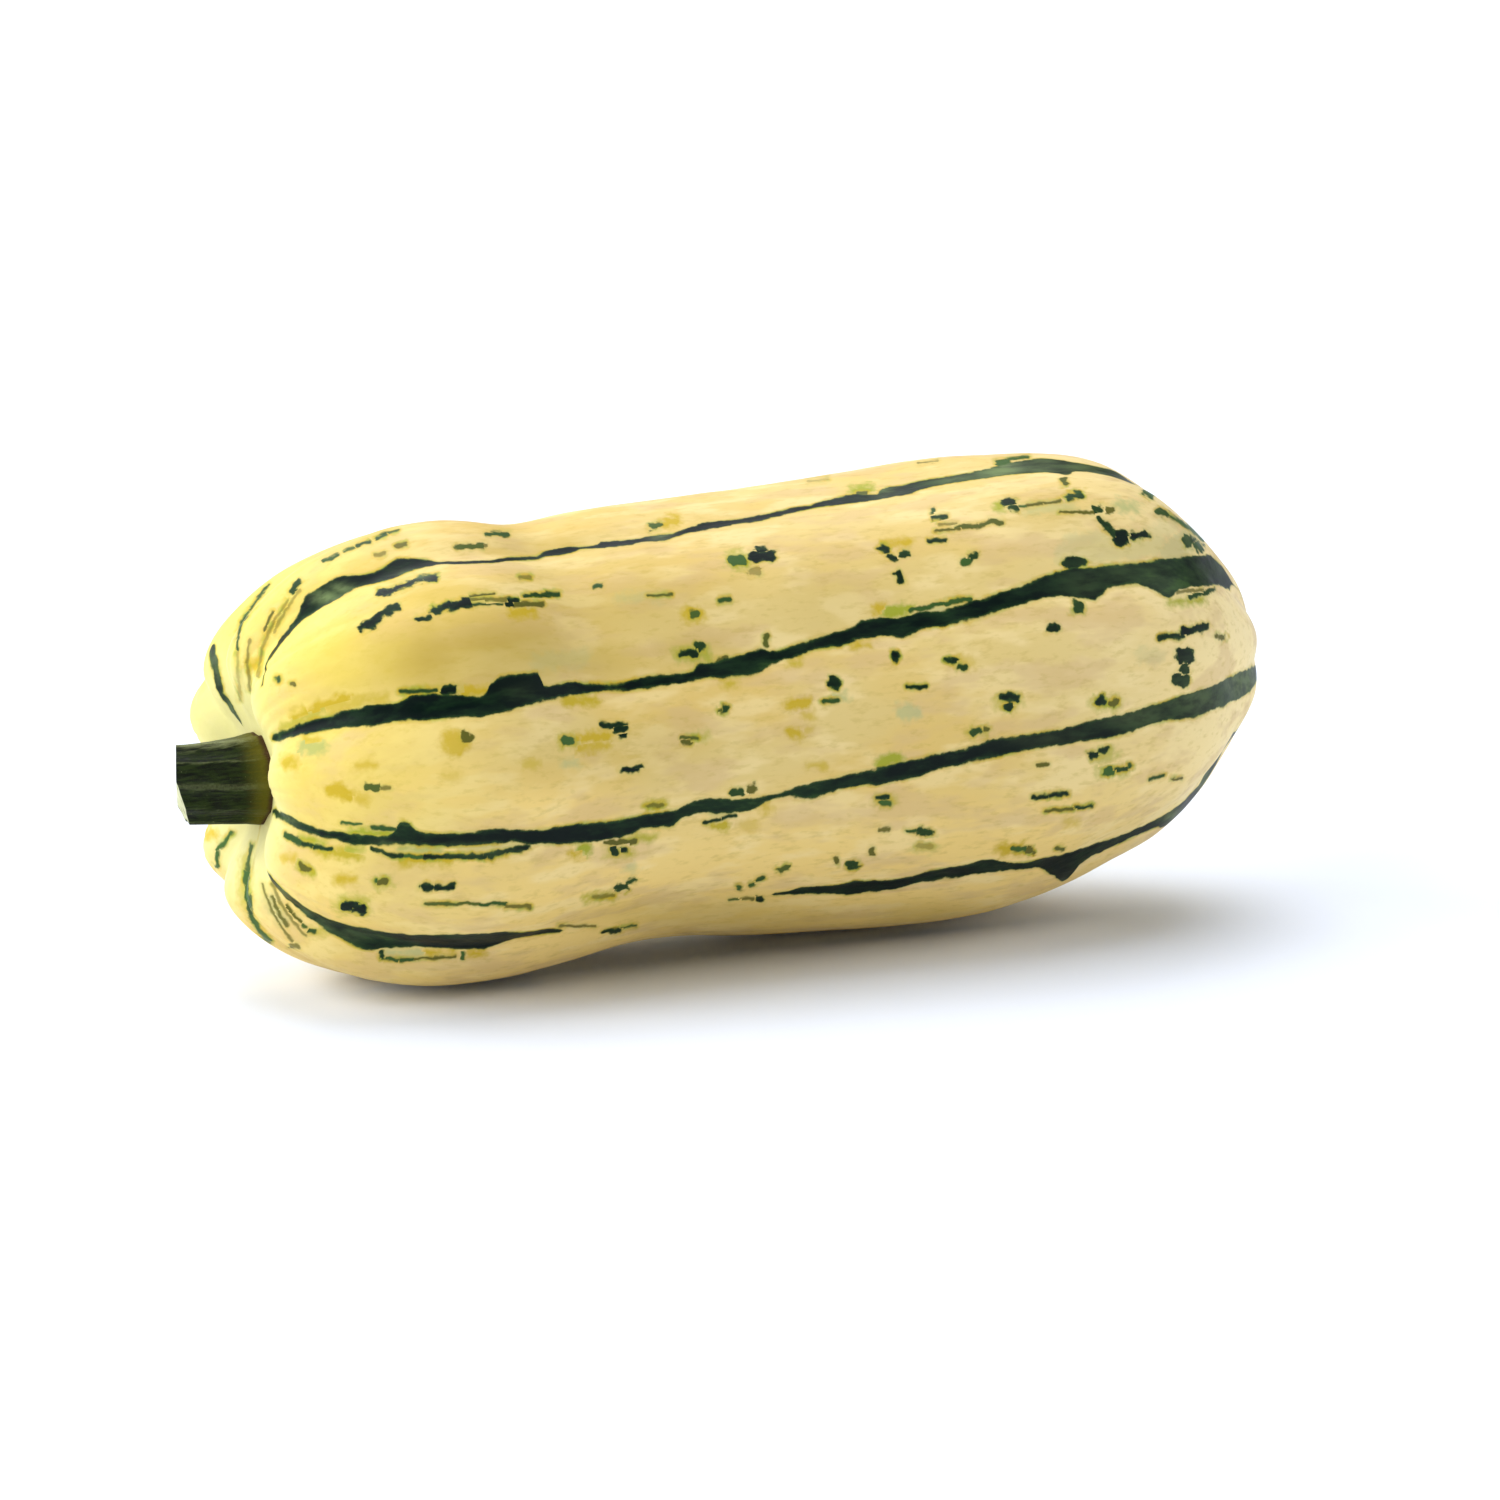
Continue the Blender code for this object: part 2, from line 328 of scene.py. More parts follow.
        def by_corner(*parts):
            return np.concatenate([part.ravel() for part in parts])

        self.corner_vertex = by_corner(quads, first, last)
        self.corner_station = by_corner(quad_stations, first_station, last_station)
        self.corner_share = by_corner(quad_shares, first_share, last_share)
        self.face_column = np.concatenate([np.tile(column, rings - 1), column, column])
        self.face_size = np.array([len(face) for face in self.faces])
        self.corner_face = np.repeat(np.arange(len(self.faces)), self.face_size)
        self.corner_column = self.face_column[self.corner_face]

    def face_middle(self, values):
        """The mean over each face of values given at the vertices."""
        total = np.zeros((len(self.faces), values.shape[1]))
        np.add.at(total, self.corner_face, values[self.corner_vertex])
        return total / self.face_size[:, None]

    def corner_across(self):
        """Each corner's distance round the fruit from its face's nearest groove, in mm, up positive."""
        rib = self.rib[self.corner_column]
        width = self.grooves[self.corner_station, rib] - self.grooves[self.corner_station, rib + 1]
        below = self.groove[self.corner_column] == rib
        share = np.where(below, -self.corner_share, 1 - self.corner_share)
        return share * width * self.radius[self.corner_station] / MM


# Stripes along the grooves in sight, from the stem end: x, y and width in the picture. A width below
# zero is a break.
STRIPES_PX = {
    9: (
        (213, 648, 5), (214, 660, 7), (216, 672, 8), (218, 684, 8), (221, 694, 6), (228, 702, 4),
        (233, 711, 4), (240, 722, 3),
    ),
    0: (
        (264, 682, 2), (265, 668, 3), (270, 657, 3), (280, 642, 4), (290, 630, 5), (299, 618, 7),
        (304, 612, 13), (312, 602, 19), (325, 595, 19), (340, 585, 20), (352, 582, 15), (365, 580, 11),
        (380, 577, 11), (393, 570, 15), (400, 566, 16), (412, 564, 12), (430, 563, 7), (437, 563, 3),
        (463, 563, 3), (490, 562, 3), (512, 558.5, 4), (538, 558, 3), (545, 554, 4), (560, 552, 7),
        (572, 549, 6), (580, 548, 2), (598, 547, 3), (605, 545, 7), (622, 543, 6), (640, 540.5, 5),
        (662, 538, 7), (676, 535, 4), (690, 530, 5), (702, 527, 7), (720, 524, 6), (740, 521, 5),
        (760, 518, 6), (780, 513, 5), (800, 509, 5), (812, 507, 3), (825, 503, 6), (845, 500, 8),
        (862, 498, 9), (878, 497, 5), (890, 492, 10), (905, 490, 10), (920, 485, 9), (940, 481, 8),
        (960, 478, 8), (980, 475, 8), (1000, 471, 9), (1020, 468, 12), (1040, 466, 14), (1055, 467, 18),
        (1065, 466, 12), (1080, 467, 8), (1100, 471, 7), (1120, 477, 6), (1140, 484, 6), (1155, 494, 6),
        (1170, 505, 6), (1180, 516, 6), (1195, 530, 5), (1205, 540, 4),
    ),
    1: (
        (272, 740, 6), (285, 735.5, 10), (300, 729.5, 11), (320, 725, 12), (340, 720, 15), (360, 717, 19),
        (380, 715, 19), (400, 712, 20), (412, 708.5, 24), (430, 706, 27), (445, 706, 26), (460, 706.5, 23),
        (480, 706, 22), (488, 705.5, 23), (493, 699, 34), (505, 694, 36), (520, 690, 34), (540, 687, 29),
        (546, 693, 14), (570, 689, 14), (600, 688, 9), (620, 687, 8), (640, 683.5, 10), (660, 681, 11),
        (680, 678.5, 11), (692, 677, 10), (700, 671, 17), (715, 669.5, 15), (730, 668, 18), (745, 666, 22),
        (757, 662, 25), (764, 657, 22), (772, 658, 12), (780, 655.5, 11), (800, 649.5, 12), (820, 643, 13),
        (840, 638, 15), (855, 633, 13), (862, 630, 17), (880, 627, 18), (900, 628, 20), (910, 625, 18),
        (920, 620, 17), (940, 619, 16), (960, 614, 16), (975, 610, 18), (990, 606, 17), (1000, 601.5, 18),
        (1020, 595, 19), (1040, 589, 21), (1055, 585.5, 24), (1066, 584, 28), (1080, 583, 34),
        (1090, 584, 34), (1098, 581, 28), (1105, 577, 22), (1120, 575, 22), (1135, 574, 23),
        (1150, 577, 32), (1163, 579, 40), (1172, 576, 34), (1185, 572, 28), (1200, 571, 26),
        (1215, 571, 20), (1225, 578, 12),
    ),
    2: (
        (268, 806, 2), (275, 811, 4), (283, 816, 6), (291, 820, 8), (300, 825, 8), (310, 829, 8),
        (320, 833, 8), (330, 835, 8), (340, 836, 9), (350, 839, 10), (360, 840, 11), (378, 841, 10),
        (390, 840, 12), (400, 834, 22), (410, 835, 20), (415, 837, 16), (420, 839, 13), (440, 839.5, 12),
        (460, 838.5, 13), (480, 837.5, 13), (500, 835.5, 14), (515, 835, 13), (530, 837, 16),
        (560, 836, 17), (580, 834, 19), (600, 832, 19), (610, 830.5, 16), (630, 826.5, 18),
        (640, 822.5, 15), (660, 820, 14), (670, 818.5, 15), (676, 817, 15), (681, 812, 11), (690, 809, 13),
        (700, 806.5, 13), (740, 806, 13), (750, 804, 11), (760, 801, 8), (770, 797.5, 5), (780, 795, 6),
        (790, 793, 8), (800, 792, 14), (810, 791, 15), (820, 788, 17), (830, 785, 15), (850, 780, 14),
        (870, 777.5, 14), (880, 776.5, 16), (890, 774.5, 17), (900, 771, 19), (910, 770, 20),
        (920, 768, 18), (930, 764, 16), (940, 761, 14), (960, 758, 15), (980, 752, 15), (1000, 747, 18),
        (1010, 745, 15), (1040, 740.5, 15), (1060, 737.5, 16), (1080, 731.5, 17), (1090, 730.5, 19),
        (1100, 729.5, 20), (1120, 725, 20), (1130, 722, 18), (1150, 715, 17), (1170, 709.5, 19),
        (1180, 707.5, 22), (1200, 702, 24), (1220, 694, 24), (1230, 690, 22), (1240, 686, 22),
        (1250, 680, 20), (1257, 672, 18),
    ),
    3: (
        (273, 881, 3), (278, 886, 4), (283, 892, 5), (290, 898.5, 5), (297, 904.5, 6), (305, 911, 7),
        (313, 916, 7), (320, 920, 9), (326, 924, 11), (332, 927, 13), (340, 930, 15), (350, 934, 17),
        (360, 937, 20), (370, 939.5, 20), (380, 941, 20), (388, 940, 16), (400, 940.5, 15), (420, 941, 13),
        (440, 941.5, 14), (480, 941.5, 15), (490, 940.5, 15), (500, 939, 12), (508, 937.5, 9),
        (515, 936, 6), (530, 934, 4), (545, 931.5, 4), (560, 931, 3), (567, 930, -5), (768, 895, -4),
        (775, 894, 3), (790, 892.5, 3), (800, 890, 7), (820, 889.5, 8), (838, 889, 9), (850, 888, 14),
        (870, 887, 13), (880, 886.5, 11), (900, 883.5, 10), (910, 881, 8), (925, 876.5, 9), (945, 873, 11),
        (960, 871.5, 12), (980, 866.5, 12.5), (990, 866, 12), (1000, 866.5, 8.5), (1010, 866.5, 7),
        (1020, 866, 6), (1030, 865, 5.5), (1040, 863, 7), (1050, 864, 14), (1058, 864.5, 18),
        (1064, 866, 22), (1072, 865, 25), (1078, 862, 22), (1083, 856, 15), (1090, 852, 11),
        (1100, 847, 9.5), (1120, 839.5, 7), (1140, 830.5, 6.5), (1150, 826, 6), (1160, 821.5, 7),
        (1170, 816.5, 9), (1180, 812, 8), (1187, 803, 5), (1198, 789, 4), (1205, 782, 5), (1211, 772, 5),
        (1216, 763, 4), (1222, 752, 4), (1227, 743, 6),
    ),
}

# Green streaks in sight: width in pixels, tone (0 dark, 0.6 light green, 0.9 olive, above 1 fainter), then
# the points along them
STREAKS_PX = (
    (3, 0.35, (268, 585), (258, 598), (250, 610), (242, 622), (238, 636), (237, 650)),
    (3, 1.6, (237, 652), (238, 670), (240, 700)),
    (3, 1.5, (288, 600), (272, 624), (262, 648), (258, 676)),
    (3, 1.5, (300, 590), (284, 612), (274, 632)),
    (3, 1.4, (250, 640), (247, 662), (250, 690)),
    (3, 1.3, (263, 884), (268, 902), (278, 922), (292, 941)),
    (3, 1.4, (272, 884), (280, 902), (292, 920), (306, 936)),
    (4, 0.4, (324, 561), (338, 554)),
    (3, 0.7, (345, 551), (357, 546)),
    (4, 0.3, (357, 546), (369, 542)),
    (4, 0.35, (376, 538), (386, 534)),
    (3, 0.7, (386, 534), (397, 530)),
    (3, 0.9, (272, 612), (265, 630)),
    (7, 0.1, (380, 593), (388, 592), (395, 589), (405, 585), (415, 581), (425, 578), (435, 577)),
    (8, 0.15, (362, 627), (372, 623), (385, 613), (396, 607)),
    (9, 0.1, (434, 610), (450, 606), (470, 602)),
    (3, 0.3, (470, 604), (502, 604)),
    (4, 1.3, (470, 599), (505, 600)),
    (5, 0.9, (515, 604), (542, 604)),
    (5, 0.3, (525, 596), (559, 594)),
    (3, 0.9, (470, 596), (494, 594)),
    (6, 0.4, (286, 834), (293, 839), (300, 843)),
    (5, 0.25, (300, 843), (311, 846), (323, 848), (331, 849)),
    (3, 0.6, (342, 823), (361, 824)),
    (4, 0.35, (372, 828), (398, 829)),
    (5, 0.2, (372, 848), (380, 851), (390, 855), (402, 857)),
    (4, 0.5, (402, 857), (425, 857)),
    (6, 0.15, (425, 857), (460, 857), (485, 856), (502, 853), (527, 847)),
    (4, 0.4, (383, 959), (400, 960), (414, 959)),
    (3, 0.9, (414, 959), (432, 958), (455, 957)),
    (4, 0.75, (425, 904), (480, 904)),
    (4, 0.4, (480, 904), (506, 904)),
    (4, 1.2, (506, 906), (530, 907)),
    (4, 0.7, (252, 845), (249, 857), (247, 872)),
    (6, 0.55, (247, 872), (246, 886), (248, 900)),
    (6, 0.3, (248, 897), (250, 914)),
    (5, 0.55, (250, 914), (258, 928), (265, 937), (270, 941)),
    (4, 0.6, (232, 832), (225, 842), (218, 850)),
    (4, 0.5, (218, 850), (217, 858), (217, 867)),
    (4, 1.2, (272, 897), (278, 912), (288, 926)),
    (4, 0.9, (287, 906), (293, 914), (301, 922)),
    (5, 0.8, (956, 528), (980, 525), (990, 521), (1002, 522)),
    (3, 0.9, (936, 531), (960, 529)),
    (3, 0.9, (1024, 506), (1045, 503), (1060, 501)),
    (3, 0.9, (1060, 512), (1095, 512)),
    (7, 0.25, (1100, 518), (1107, 526), (1114, 534)),
    (3, 0.5, (1008, 459), (1028, 457)),
    (4, 0.45, (1166, 513), (1178, 520)),
    (4, 0.5, (1170, 516), (1190, 528), (1203, 540)),
    (5, 0.45, (912, 611), (925, 607), (945, 603), (970, 599)),
    (6, 0.2, (1160, 637), (1182, 636)),
    (8, 0.1, (1182, 633), (1205, 627)),
    (5, 0.3, (1190, 597), (1213, 591)),
    (4, 1.3, (1178, 592), (1202, 590)),
    (4, 0.15, (705, 822), (720, 819), (736, 815)),
    (5, 0.15, (1033, 798), (1050, 796), (1067, 793)),
    (3, 0.9, (1045, 811), (1073, 809)),
    (4, 0.35, (1150, 779), (1163, 775)),
    (3, 1.2, (560, 926), (595, 926)),
    (3, 0.7, (622, 928), (636, 925)),
)

# Green flecks in sight: x, y, width, height, turn in degrees, tone
FLECKS_PX = (
    (295, 587, 18, 6, 50, 0.3), (278, 679, 5, 6, 30, 0.4), (293, 684, 7, 5, 0, 1.2),
    (401, 545, 14, 4, 15, 1.2), (380, 554, 12, 4, 10, 1.4), (424, 619, 18, 8, 4, 0.1),
    (512, 602, 16, 8, 2, 0.15), (482, 546, 12, 4, 4, 1.3), (525, 577, 14, 4, 3, 1.4),
    (497, 534, 26, 5, 3, 0.4), (470, 546, 30, 6, 2, 0.75), (655, 526, 14, 9, 6, 0.7),
    (598, 586.5, 11, 6, 0, 0.4), (660, 595, 26, 3, 2, 0.8), (694, 614.5, 10, 8, 0, 0.7),
    (688, 653, 22, 8, 4, 0.2), (700, 647, 12, 10, 0, 0.3), (737, 560, 18, 13, 0, 0.6),
    (762, 556, 28, 13, 2, 0.1), (761, 550, 17, 8, 0, 0.15), (755, 572, 16, 7, 0, 1.5),
    (725, 600, 14, 5, 3, 0.4), (928, 462, 22, 1.6, 8, 1.2), (818, 480, 22, 1.6, 8, 1.6),
    (940, 517, 18, 5, 3, 0.25), (932, 511, 4, 7, 0, 0.4), (948, 524, 20, 3, 3, 1.4),
    (937, 540.5, 20, 5, 3, 0.2), (884, 549, 13, 8, -20, 0.2), (893, 557, 14, 6, -20, 0.2),
    (905, 554, 14, 7, 20, 0.25), (900, 577, 15, 8, -62, 0.2), (895, 656, 12, 8, -25, 0.1),
    (834, 683, 11, 14, 0, 0.15), (830, 701, 18, 4, 3, 0.35), (917, 687, 22, 5, 0, 0.1),
    (951, 660, 14, 7, -8, 0.2), (962, 667, 14, 7, -4, 0.3), (967, 561, 12, 7, 8, 0.5),
    (974, 556, 11, 8, 8, 0.3), (1003, 462, 16, 7, 4, 0.5), (1075, 496, 20, 8, 4, 0.3),
    (1009, 502, 18, 9, 0, 0.2), (1014, 508, 12, 7, 0, 0.3), (1023, 506, 10, 3, 0, 0.6),
    (1097, 509, 14, 9, 0, 0.3), (1110, 511, 10, 6, 0, 1.1), (1121, 537, 17, 18, 0, 0.15),
    (1139, 535, 20, 9, 6, 0.15), (1148, 494, 14, 6, -20, 0.5), (1163, 513, 16, 8, -20, 0.3),
    (1189, 541, 14, 11, -30, 0.2), (1198, 547, 13, 9, -35, 0.35), (1052, 628, 15, 9, 4, 0.2),
    (1221, 637, 9, 8, 30, 1.1), (1184, 656, 21, 18, 0, 0.1), (1184, 669, 12, 10, 0, 0.25),
    (1180, 680, 19, 13, 0, 0.2), (449, 690, 18, 11, 2, 0.1), (418, 691, 40, 4, 2, 0.3),
    (1075, 562, 24, 11, 0, 0.15), (1078, 608, 13, 14, 0, 0.3), (1064, 481, 6, 8, 0, 0.8),
    (862, 494, 12, 5, 8, 0.8), (766, 640, 5, 15, 0, 0.8), (722, 661, 16, 7, 8, 0.9),
    (372, 787, 18, 8, -3, 0.75), (385, 788, 12, 4, -3, 1.3), (466, 737, 11, 13, 0, 0.9),
    (383, 881, 12, 8, 0, 0.9), (378, 880, 7, 6, 0, 0.6), (437, 887, 39, 7, 0, 0.05),
    (427, 887, 16, 8, 0, 0.05), (351, 906, 20, 11, -4, 0.15), (359, 909, 14, 9, -4, 0.1),
    (312, 931, 10, 5, -10, 0.35), (305, 926, 8, 4, -30, 0.7), (294, 946, 12, 5, 0, 1.3),
    (463, 955, 4, 9, 0, 0.5), (382, 955, 6, 11, 0, 0.1), (404, 828, 16, 11, 0, 0.1),
    (304, 867, 12, 6, -35, 0.95), (613, 725, 28, 6, 0, 0.15), (621, 729, 16, 9, 0, 0.1),
    (623, 735, 10, 8, 0, 0.1), (567, 741, 12, 10, 0, 0.6), (630, 770, 20, 7, 8, 0.1),
    (638, 767, 11, 5, 20, 0.2), (689, 738, 18, 4, 0, 0.8), (687, 742, 10, 5, 0, 0.9),
    (655, 806, 18, 4, 6, 1.3), (614, 850, 9, 9, 0, 0.25), (624, 850, 10, 9, 0, 0.2),
    (620, 842, 34, 5, 4, 0.9), (622, 887, 16, 8, 6, 0.3), (631, 881, 12, 5, 15, 0.35),
    (603, 896, 24, 4, 4, 1.4), (612, 931, 20, 5, 4, 0.2), (720, 710, 6, 4, 0, 0.8),
    (724, 709, 8, 9, 0, 0.3), (737, 792, 16, 8, 4, 0.3), (752, 788, 12, 8, 4, 1.1),
    (883, 798, 15, 5, 0, 0.15), (885, 803, 14, 5, 0, 0.6), (884, 829, 14, 5, 0, 1.2),
    (912, 831, 14, 4, 0, 0.4), (926, 832, 17, 9, 0, 0.3), (925, 846, 18, 5, 0, 1.6),
    (872, 851, 6, 9, 0, 1.1), (853, 865, 15, 8, 16, 0.3), (836, 860, 6, 8, 0, 1.1),
    (783, 869, 14, 7, 22, 0.75), (760, 879, 10, 5, 20, 0.35), (752, 885, 8, 4, 20, 0.5),
    (739, 888, 5, 7, 0, 0.6), (734, 899, 12, 3, 5, 0.7), (747, 899, 14, 3, 0, 1.2),
    (760, 899, 10, 5, 5, 0.2), (1010, 698, 22, 8, 0, 0.15), (1008, 706, 10, 9, 0, 0.2),
    (1101, 701, 14, 13, 0, 0.1), (1114, 702, 10, 9, 0, 1.1), (976, 732, 16, 8, 8, 0.35),
    (985, 729, 9, 5, 8, 0.9), (1094, 755, 13, 8, 10, 0.15), (1103, 750, 13, 8, 20, 0.2),
    (1108, 772, 15, 8, 0, 0.6), (1122, 769, 15, 5, 8, 0.3), (1130, 765, 5, 6, 0, 0.4),
    (1177, 779, 12, 3, 0, 1.1), (1042, 765, 14, 4, 4, 0.9), (1084, 807, 20, 4, 4, 0.2),
    (1020, 849, 17, 5, 4, 0.6), (1029, 850, 9, 8, 0, 1.1), (1060, 849, 9, 4, 0, 0.8),
)

# Soft patches in sight: x, y, width, height, turn in degrees, hue (0 golden, 0.5 yellow-green,
# 1 grey-green), strength
PATCHES_PX = (
    (350, 703, 80, 8, 10, 0.2, 0.55), (305, 718, 50, 8, 24, 0.35, 0.6), (430, 691, 60, 8, 4, 0.3, 0.45),
    (1110, 549, 110, 26, 8, 0.9, 0.35), (1180, 547, 46, 24, 35, 0.9, 0.5),
    (1150, 535, 60, 16, 25, 0.9, 0.25), (300, 715, 20, 8, 25, 0.2, 0.8), (330, 705, 44, 9, 16, 0.15, 0.9),
    (313, 747, 26, 10, 0, 0.75, 0.9), (312, 741, 16, 6, 0, 0.2, 0.7), (290, 762, 16, 11, 0, 0.2, 0.8),
    (340, 792, 25, 11, -20, 0.0, 0.9), (362, 799, 13, 6, 0, 0.1, 0.6), (364, 766, 20, 8, 0, 0.0, 0.6),
    (455, 744, 28, 24, -30, 0.0, 0.7), (452, 776, 18, 10, 0, 0.0, 0.35), (305, 868, 20, 7, -35, 0.35, 0.9),
    (290, 858, 12, 5, 0, 0.15, 0.7), (345, 880, 20, 6, 0, 0.15, 0.8), (384, 881, 18, 12, 0, 0.4, 0.6),
    (352, 905, 34, 17, -3, 0.35, 0.7), (340, 854, 42, 8, -8, 0.25, 0.8), (355, 850, 16, 6, 0, 0.5, 0.7),
    (312, 841, 26, 5, -12, 0.45, 0.8), (372, 833, 46, 6, -3, 0.5, 0.9), (420, 849, 40, 5, 0, 0.75, 0.9),
    (424, 861, 54, 6, 0, 0.2, 0.8), (490, 847, 60, 4, 3, 0.9, 0.6), (440, 953, 30, 5, 0, 0.15, 0.8),
    (404, 952, 36, 5, 0, 0.85, 0.9), (476, 953, 16, 8, 0, 0.1, 0.9), (276, 910, 34, 12, -58, 0.9, 0.6),
    (318, 931, 16, 8, 0, 0.3, 0.6), (246, 880, 50, 12, 90, 0.3, 0.5), (209, 834, 14, 10, 0, 0.15, 0.8),
    (253, 665, 11, 11, 0, 0.0, 0.8), (522, 612, 26, 8, 3, 0.05, 0.9), (482, 596, 22, 5, 0, 0.3, 0.6),
    (671, 522, 18, 11, 6, 0.1, 0.9), (694, 615, 20, 12, 0, 0.15, 0.8), (738, 561, 22, 16, 0, 0.5, 0.8),
    (693, 654, 36, 15, 4, 0.5, 0.6), (798, 704, 26, 8, 10, 0.0, 0.9), (808, 715, 12, 6, 0, 0.0, 0.6),
    (795, 733, 16, 10, 0, 0.0, 0.8), (806, 729, 10, 5, 0, 0.1, 0.5), (816, 765, 18, 7, 0, 0.15, 0.6),
    (840, 697, 14, 7, 0, 0.8, 0.7), (591, 738, 40, 9, 6, 0.0, 0.9), (592, 747, 34, 9, 6, 0.1, 0.7),
    (570, 742, 20, 14, 0, 0.3, 0.6), (700, 737, 18, 7, 4, 0.35, 0.6), (530, 765, 18, 9, 0, 0.15, 0.5),
    (570, 764, 16, 7, 0, 0.9, 0.6), (655, 806, 24, 7, 6, 0.3, 0.8), (583, 849, 14, 8, 0, 0.5, 0.9),
    (576, 853, 14, 6, 0, 0.1, 0.8), (640, 838, 34, 6, 4, 0.35, 0.7), (619, 853, 30, 12, 0, 0.3, 0.5),
    (600, 897, 32, 8, 4, 0.3, 0.7), (632, 868, 9, 10, 0, 0.9, 0.6), (718, 826, 20, 6, 0, 0.25, 0.9),
    (722, 812, 24, 4, 0, 0.8, 0.8), (748, 827, 20, 12, 0, 0.0, 0.4), (765, 806, 10, 14, 0, 0.0, 0.6),
    (890, 760, 26, 9, 8, 0.45, 0.9), (908, 712, 22, 14, 0, 0.95, 0.9), (885, 801, 20, 9, 0, 0.3, 0.6),
    (1012, 849, 30, 9, 0, 0.1, 0.8), (1072, 822, 16, 8, 0, 0.1, 0.5), (1186, 601, 38, 5, 3, 0.4, 0.8),
    (1000, 506, 10, 8, 0, 0.45, 0.8), (1008, 703, 26, 14, 0, 0.3, 0.5), (1106, 703, 30, 14, 0, 0.35, 0.6),
    (978, 732, 24, 9, 5, 0.3, 0.6), (895, 543, 30, 6, 4, 0.1, 0.8), (898, 611, 32, 9, 8, 0.5, 0.9),
    (880, 609, 12, 7, 0, 0.1, 0.9), (860, 646, 20, 5, 8, 0.15, 0.8), (795, 662, 14, 6, 8, 0.2, 0.7),
    (730, 683, 16, 6, 4, 0.2, 0.7), (862, 489, 22, 6, 8, 0.45, 0.9), (440, 690, 60, 6, 0, 0.3, 0.5),
    (475, 692, 30, 10, 0, 0.05, 0.8), (963, 662, 26, 10, -12, 0.1, 0.5), (1127, 507, 26, 9, -10, 0.8, 0.8),
    (1104, 755, 26, 14, 14, 0.4, 0.5), (1112, 771, 34, 10, 0, 0.4, 0.5), (1050, 508, 50, 8, 3, 0.8, 0.5),
    (580, 700, 34, 8, 2, 0.2, 0.8), (943, 609, 46, 5, 9, 0.85, 0.7), (640, 597, 50, 9, 3, 0.9, 0.4),
    (925, 847, 26, 7, 0, 0.7, 0.4), (1150, 656, 26, 14, 0, 0.95, 0.3), (1085, 540, 40, 14, 5, 0.95, 0.4),
    (560, 660, 60, 16, 8, 0.95, 0.3),
)

# Broad tints in sight, by the name of the value that they give the mesh: x, y, reach across and up in
# pixels, strength. Where no_stripe is strong a stripe is left out.
TINTS_PX = {
    "yellow_tint": (
        (330, 660, 70, 60, 1.0), (250, 680, 45, 80, 0.6), (420, 600, 60, 30, 0.5), (300, 780, 50, 50, 0.7),
        (380, 770, 90, 40, 0.6), (250, 880, 40, 60, 0.4), (390, 660, 60, 40, 0.8),
    ),
    # Tan: partly the rind's own colour, partly painted shade in the waist and along the lower edge
    "tan_and_painted_shade_tint": (
        (640, 745, 80, 34, 0.35), (440, 660, 60, 34, 0.9), (540, 750, 60, 40, 0.2),
        (600, 575, 80, 26, 0.35), (1060, 505, 60, 26, 0.3), (930, 560, 90, 24, 0.15),
        (1150, 545, 80, 18, 0.3), (500, 655, 90, 40, 1.0), (620, 605, 100, 40, 0.5),
        (590, 660, 70, 26, 0.6), (690, 650, 50, 20, 0.5), (560, 545, 80, 16, 0.5), (430, 640, 40, 30, 0.5),
        (720, 915, 150, 20, 0.6), (930, 915, 90, 16, 0.5), (840, 600, 70, 30, 0.35),
        (430, 590, 60, 20, 0.4),
    ),
    # Painted light: a lighter cream on parts of the lower ribs
    "painted_light_tint": (
        (430, 785, 90, 34, 0.8), (545, 805, 70, 24, 0.9), (570, 905, 100, 30, 0.9),
        (490, 870, 80, 24, 0.5),
    ),
    # Pale grey-green on the stripes: partly the rind's own lighter green, partly painted sheen at the top
    # and the ends
    "pale_green_and_sheen_tint": (
        (325, 597, 14, 6, 0.8), (342, 588, 12, 5, 0.7), (415, 574, 14, 4, 0.8), (660, 536, 10, 6, 0.5),
        (880, 490, 14, 6, 0.5), (955, 479, 30, 12, 0.4), (1000, 471, 26, 12, 0.85),
        (1040, 467, 25, 14, 0.4), (1085, 467, 30, 14, 0.45), (1130, 482, 25, 16, 0.45),
        (1165, 505, 22, 18, 0.45), (1192, 528, 18, 18, 0.45), (1085, 583, 26, 22, 0.10),
        (1125, 575, 30, 18, 0.12), (1160, 580, 26, 24, 0.14), (1205, 572, 30, 18, 0.12),
        (288, 819, 12, 7, 0.4), (1050, 738, 50, 12, 0.10), (1140, 717, 40, 14, 0.22),
        (1200, 700, 36, 18, 0.32), (1245, 683, 25, 20, 0.5), (385, 846, 12, 5, 0.5),
        (285, 893, 14, 12, 0.4), (305, 911, 14, 8, 0.3), (325, 926, 14, 8, 0.3), (350, 935, 20, 8, 0.2),
        (1172, 816, 14, 9, 0.5), (1205, 780, 12, 16, 0.5), (1228, 745, 14, 16, 0.5),
        (1190, 543, 18, 12, 0.25), (1184, 665, 16, 20, 0.1), (216, 665, 12, 26, 0.35),
        (235, 710, 10, 16, 0.5), (520, 692, 18, 10, 0.06), (470, 850, 40, 6, 0.2),
        (250, 890, 10, 50, 0.35),
    ),
    "no_stripe": (
        (207, 688, 6, 9, 1.0), (212, 700, 6, 9, 1.0), (218, 712, 6, 8, 1.0), (226, 724, 6, 7, 1.0),
        (236, 735, 7, 6, 1.0), (221, 634, 9, 8, 1.0), (234, 625, 9, 9, 1.0), (247, 613, 9, 9, 1.0),
        (259, 600, 9, 9, 1.0), (272, 588, 9, 9, 1.0), (241, 835, 6, 8, 1.0), (236, 848, 6, 9, 1.0),
        (230, 863, 6, 9, 1.0), (270, 754, 4, 9, 1.0),
    ),
}

# The distance given to a face that no mark reaches
FAR_MM = 60.0


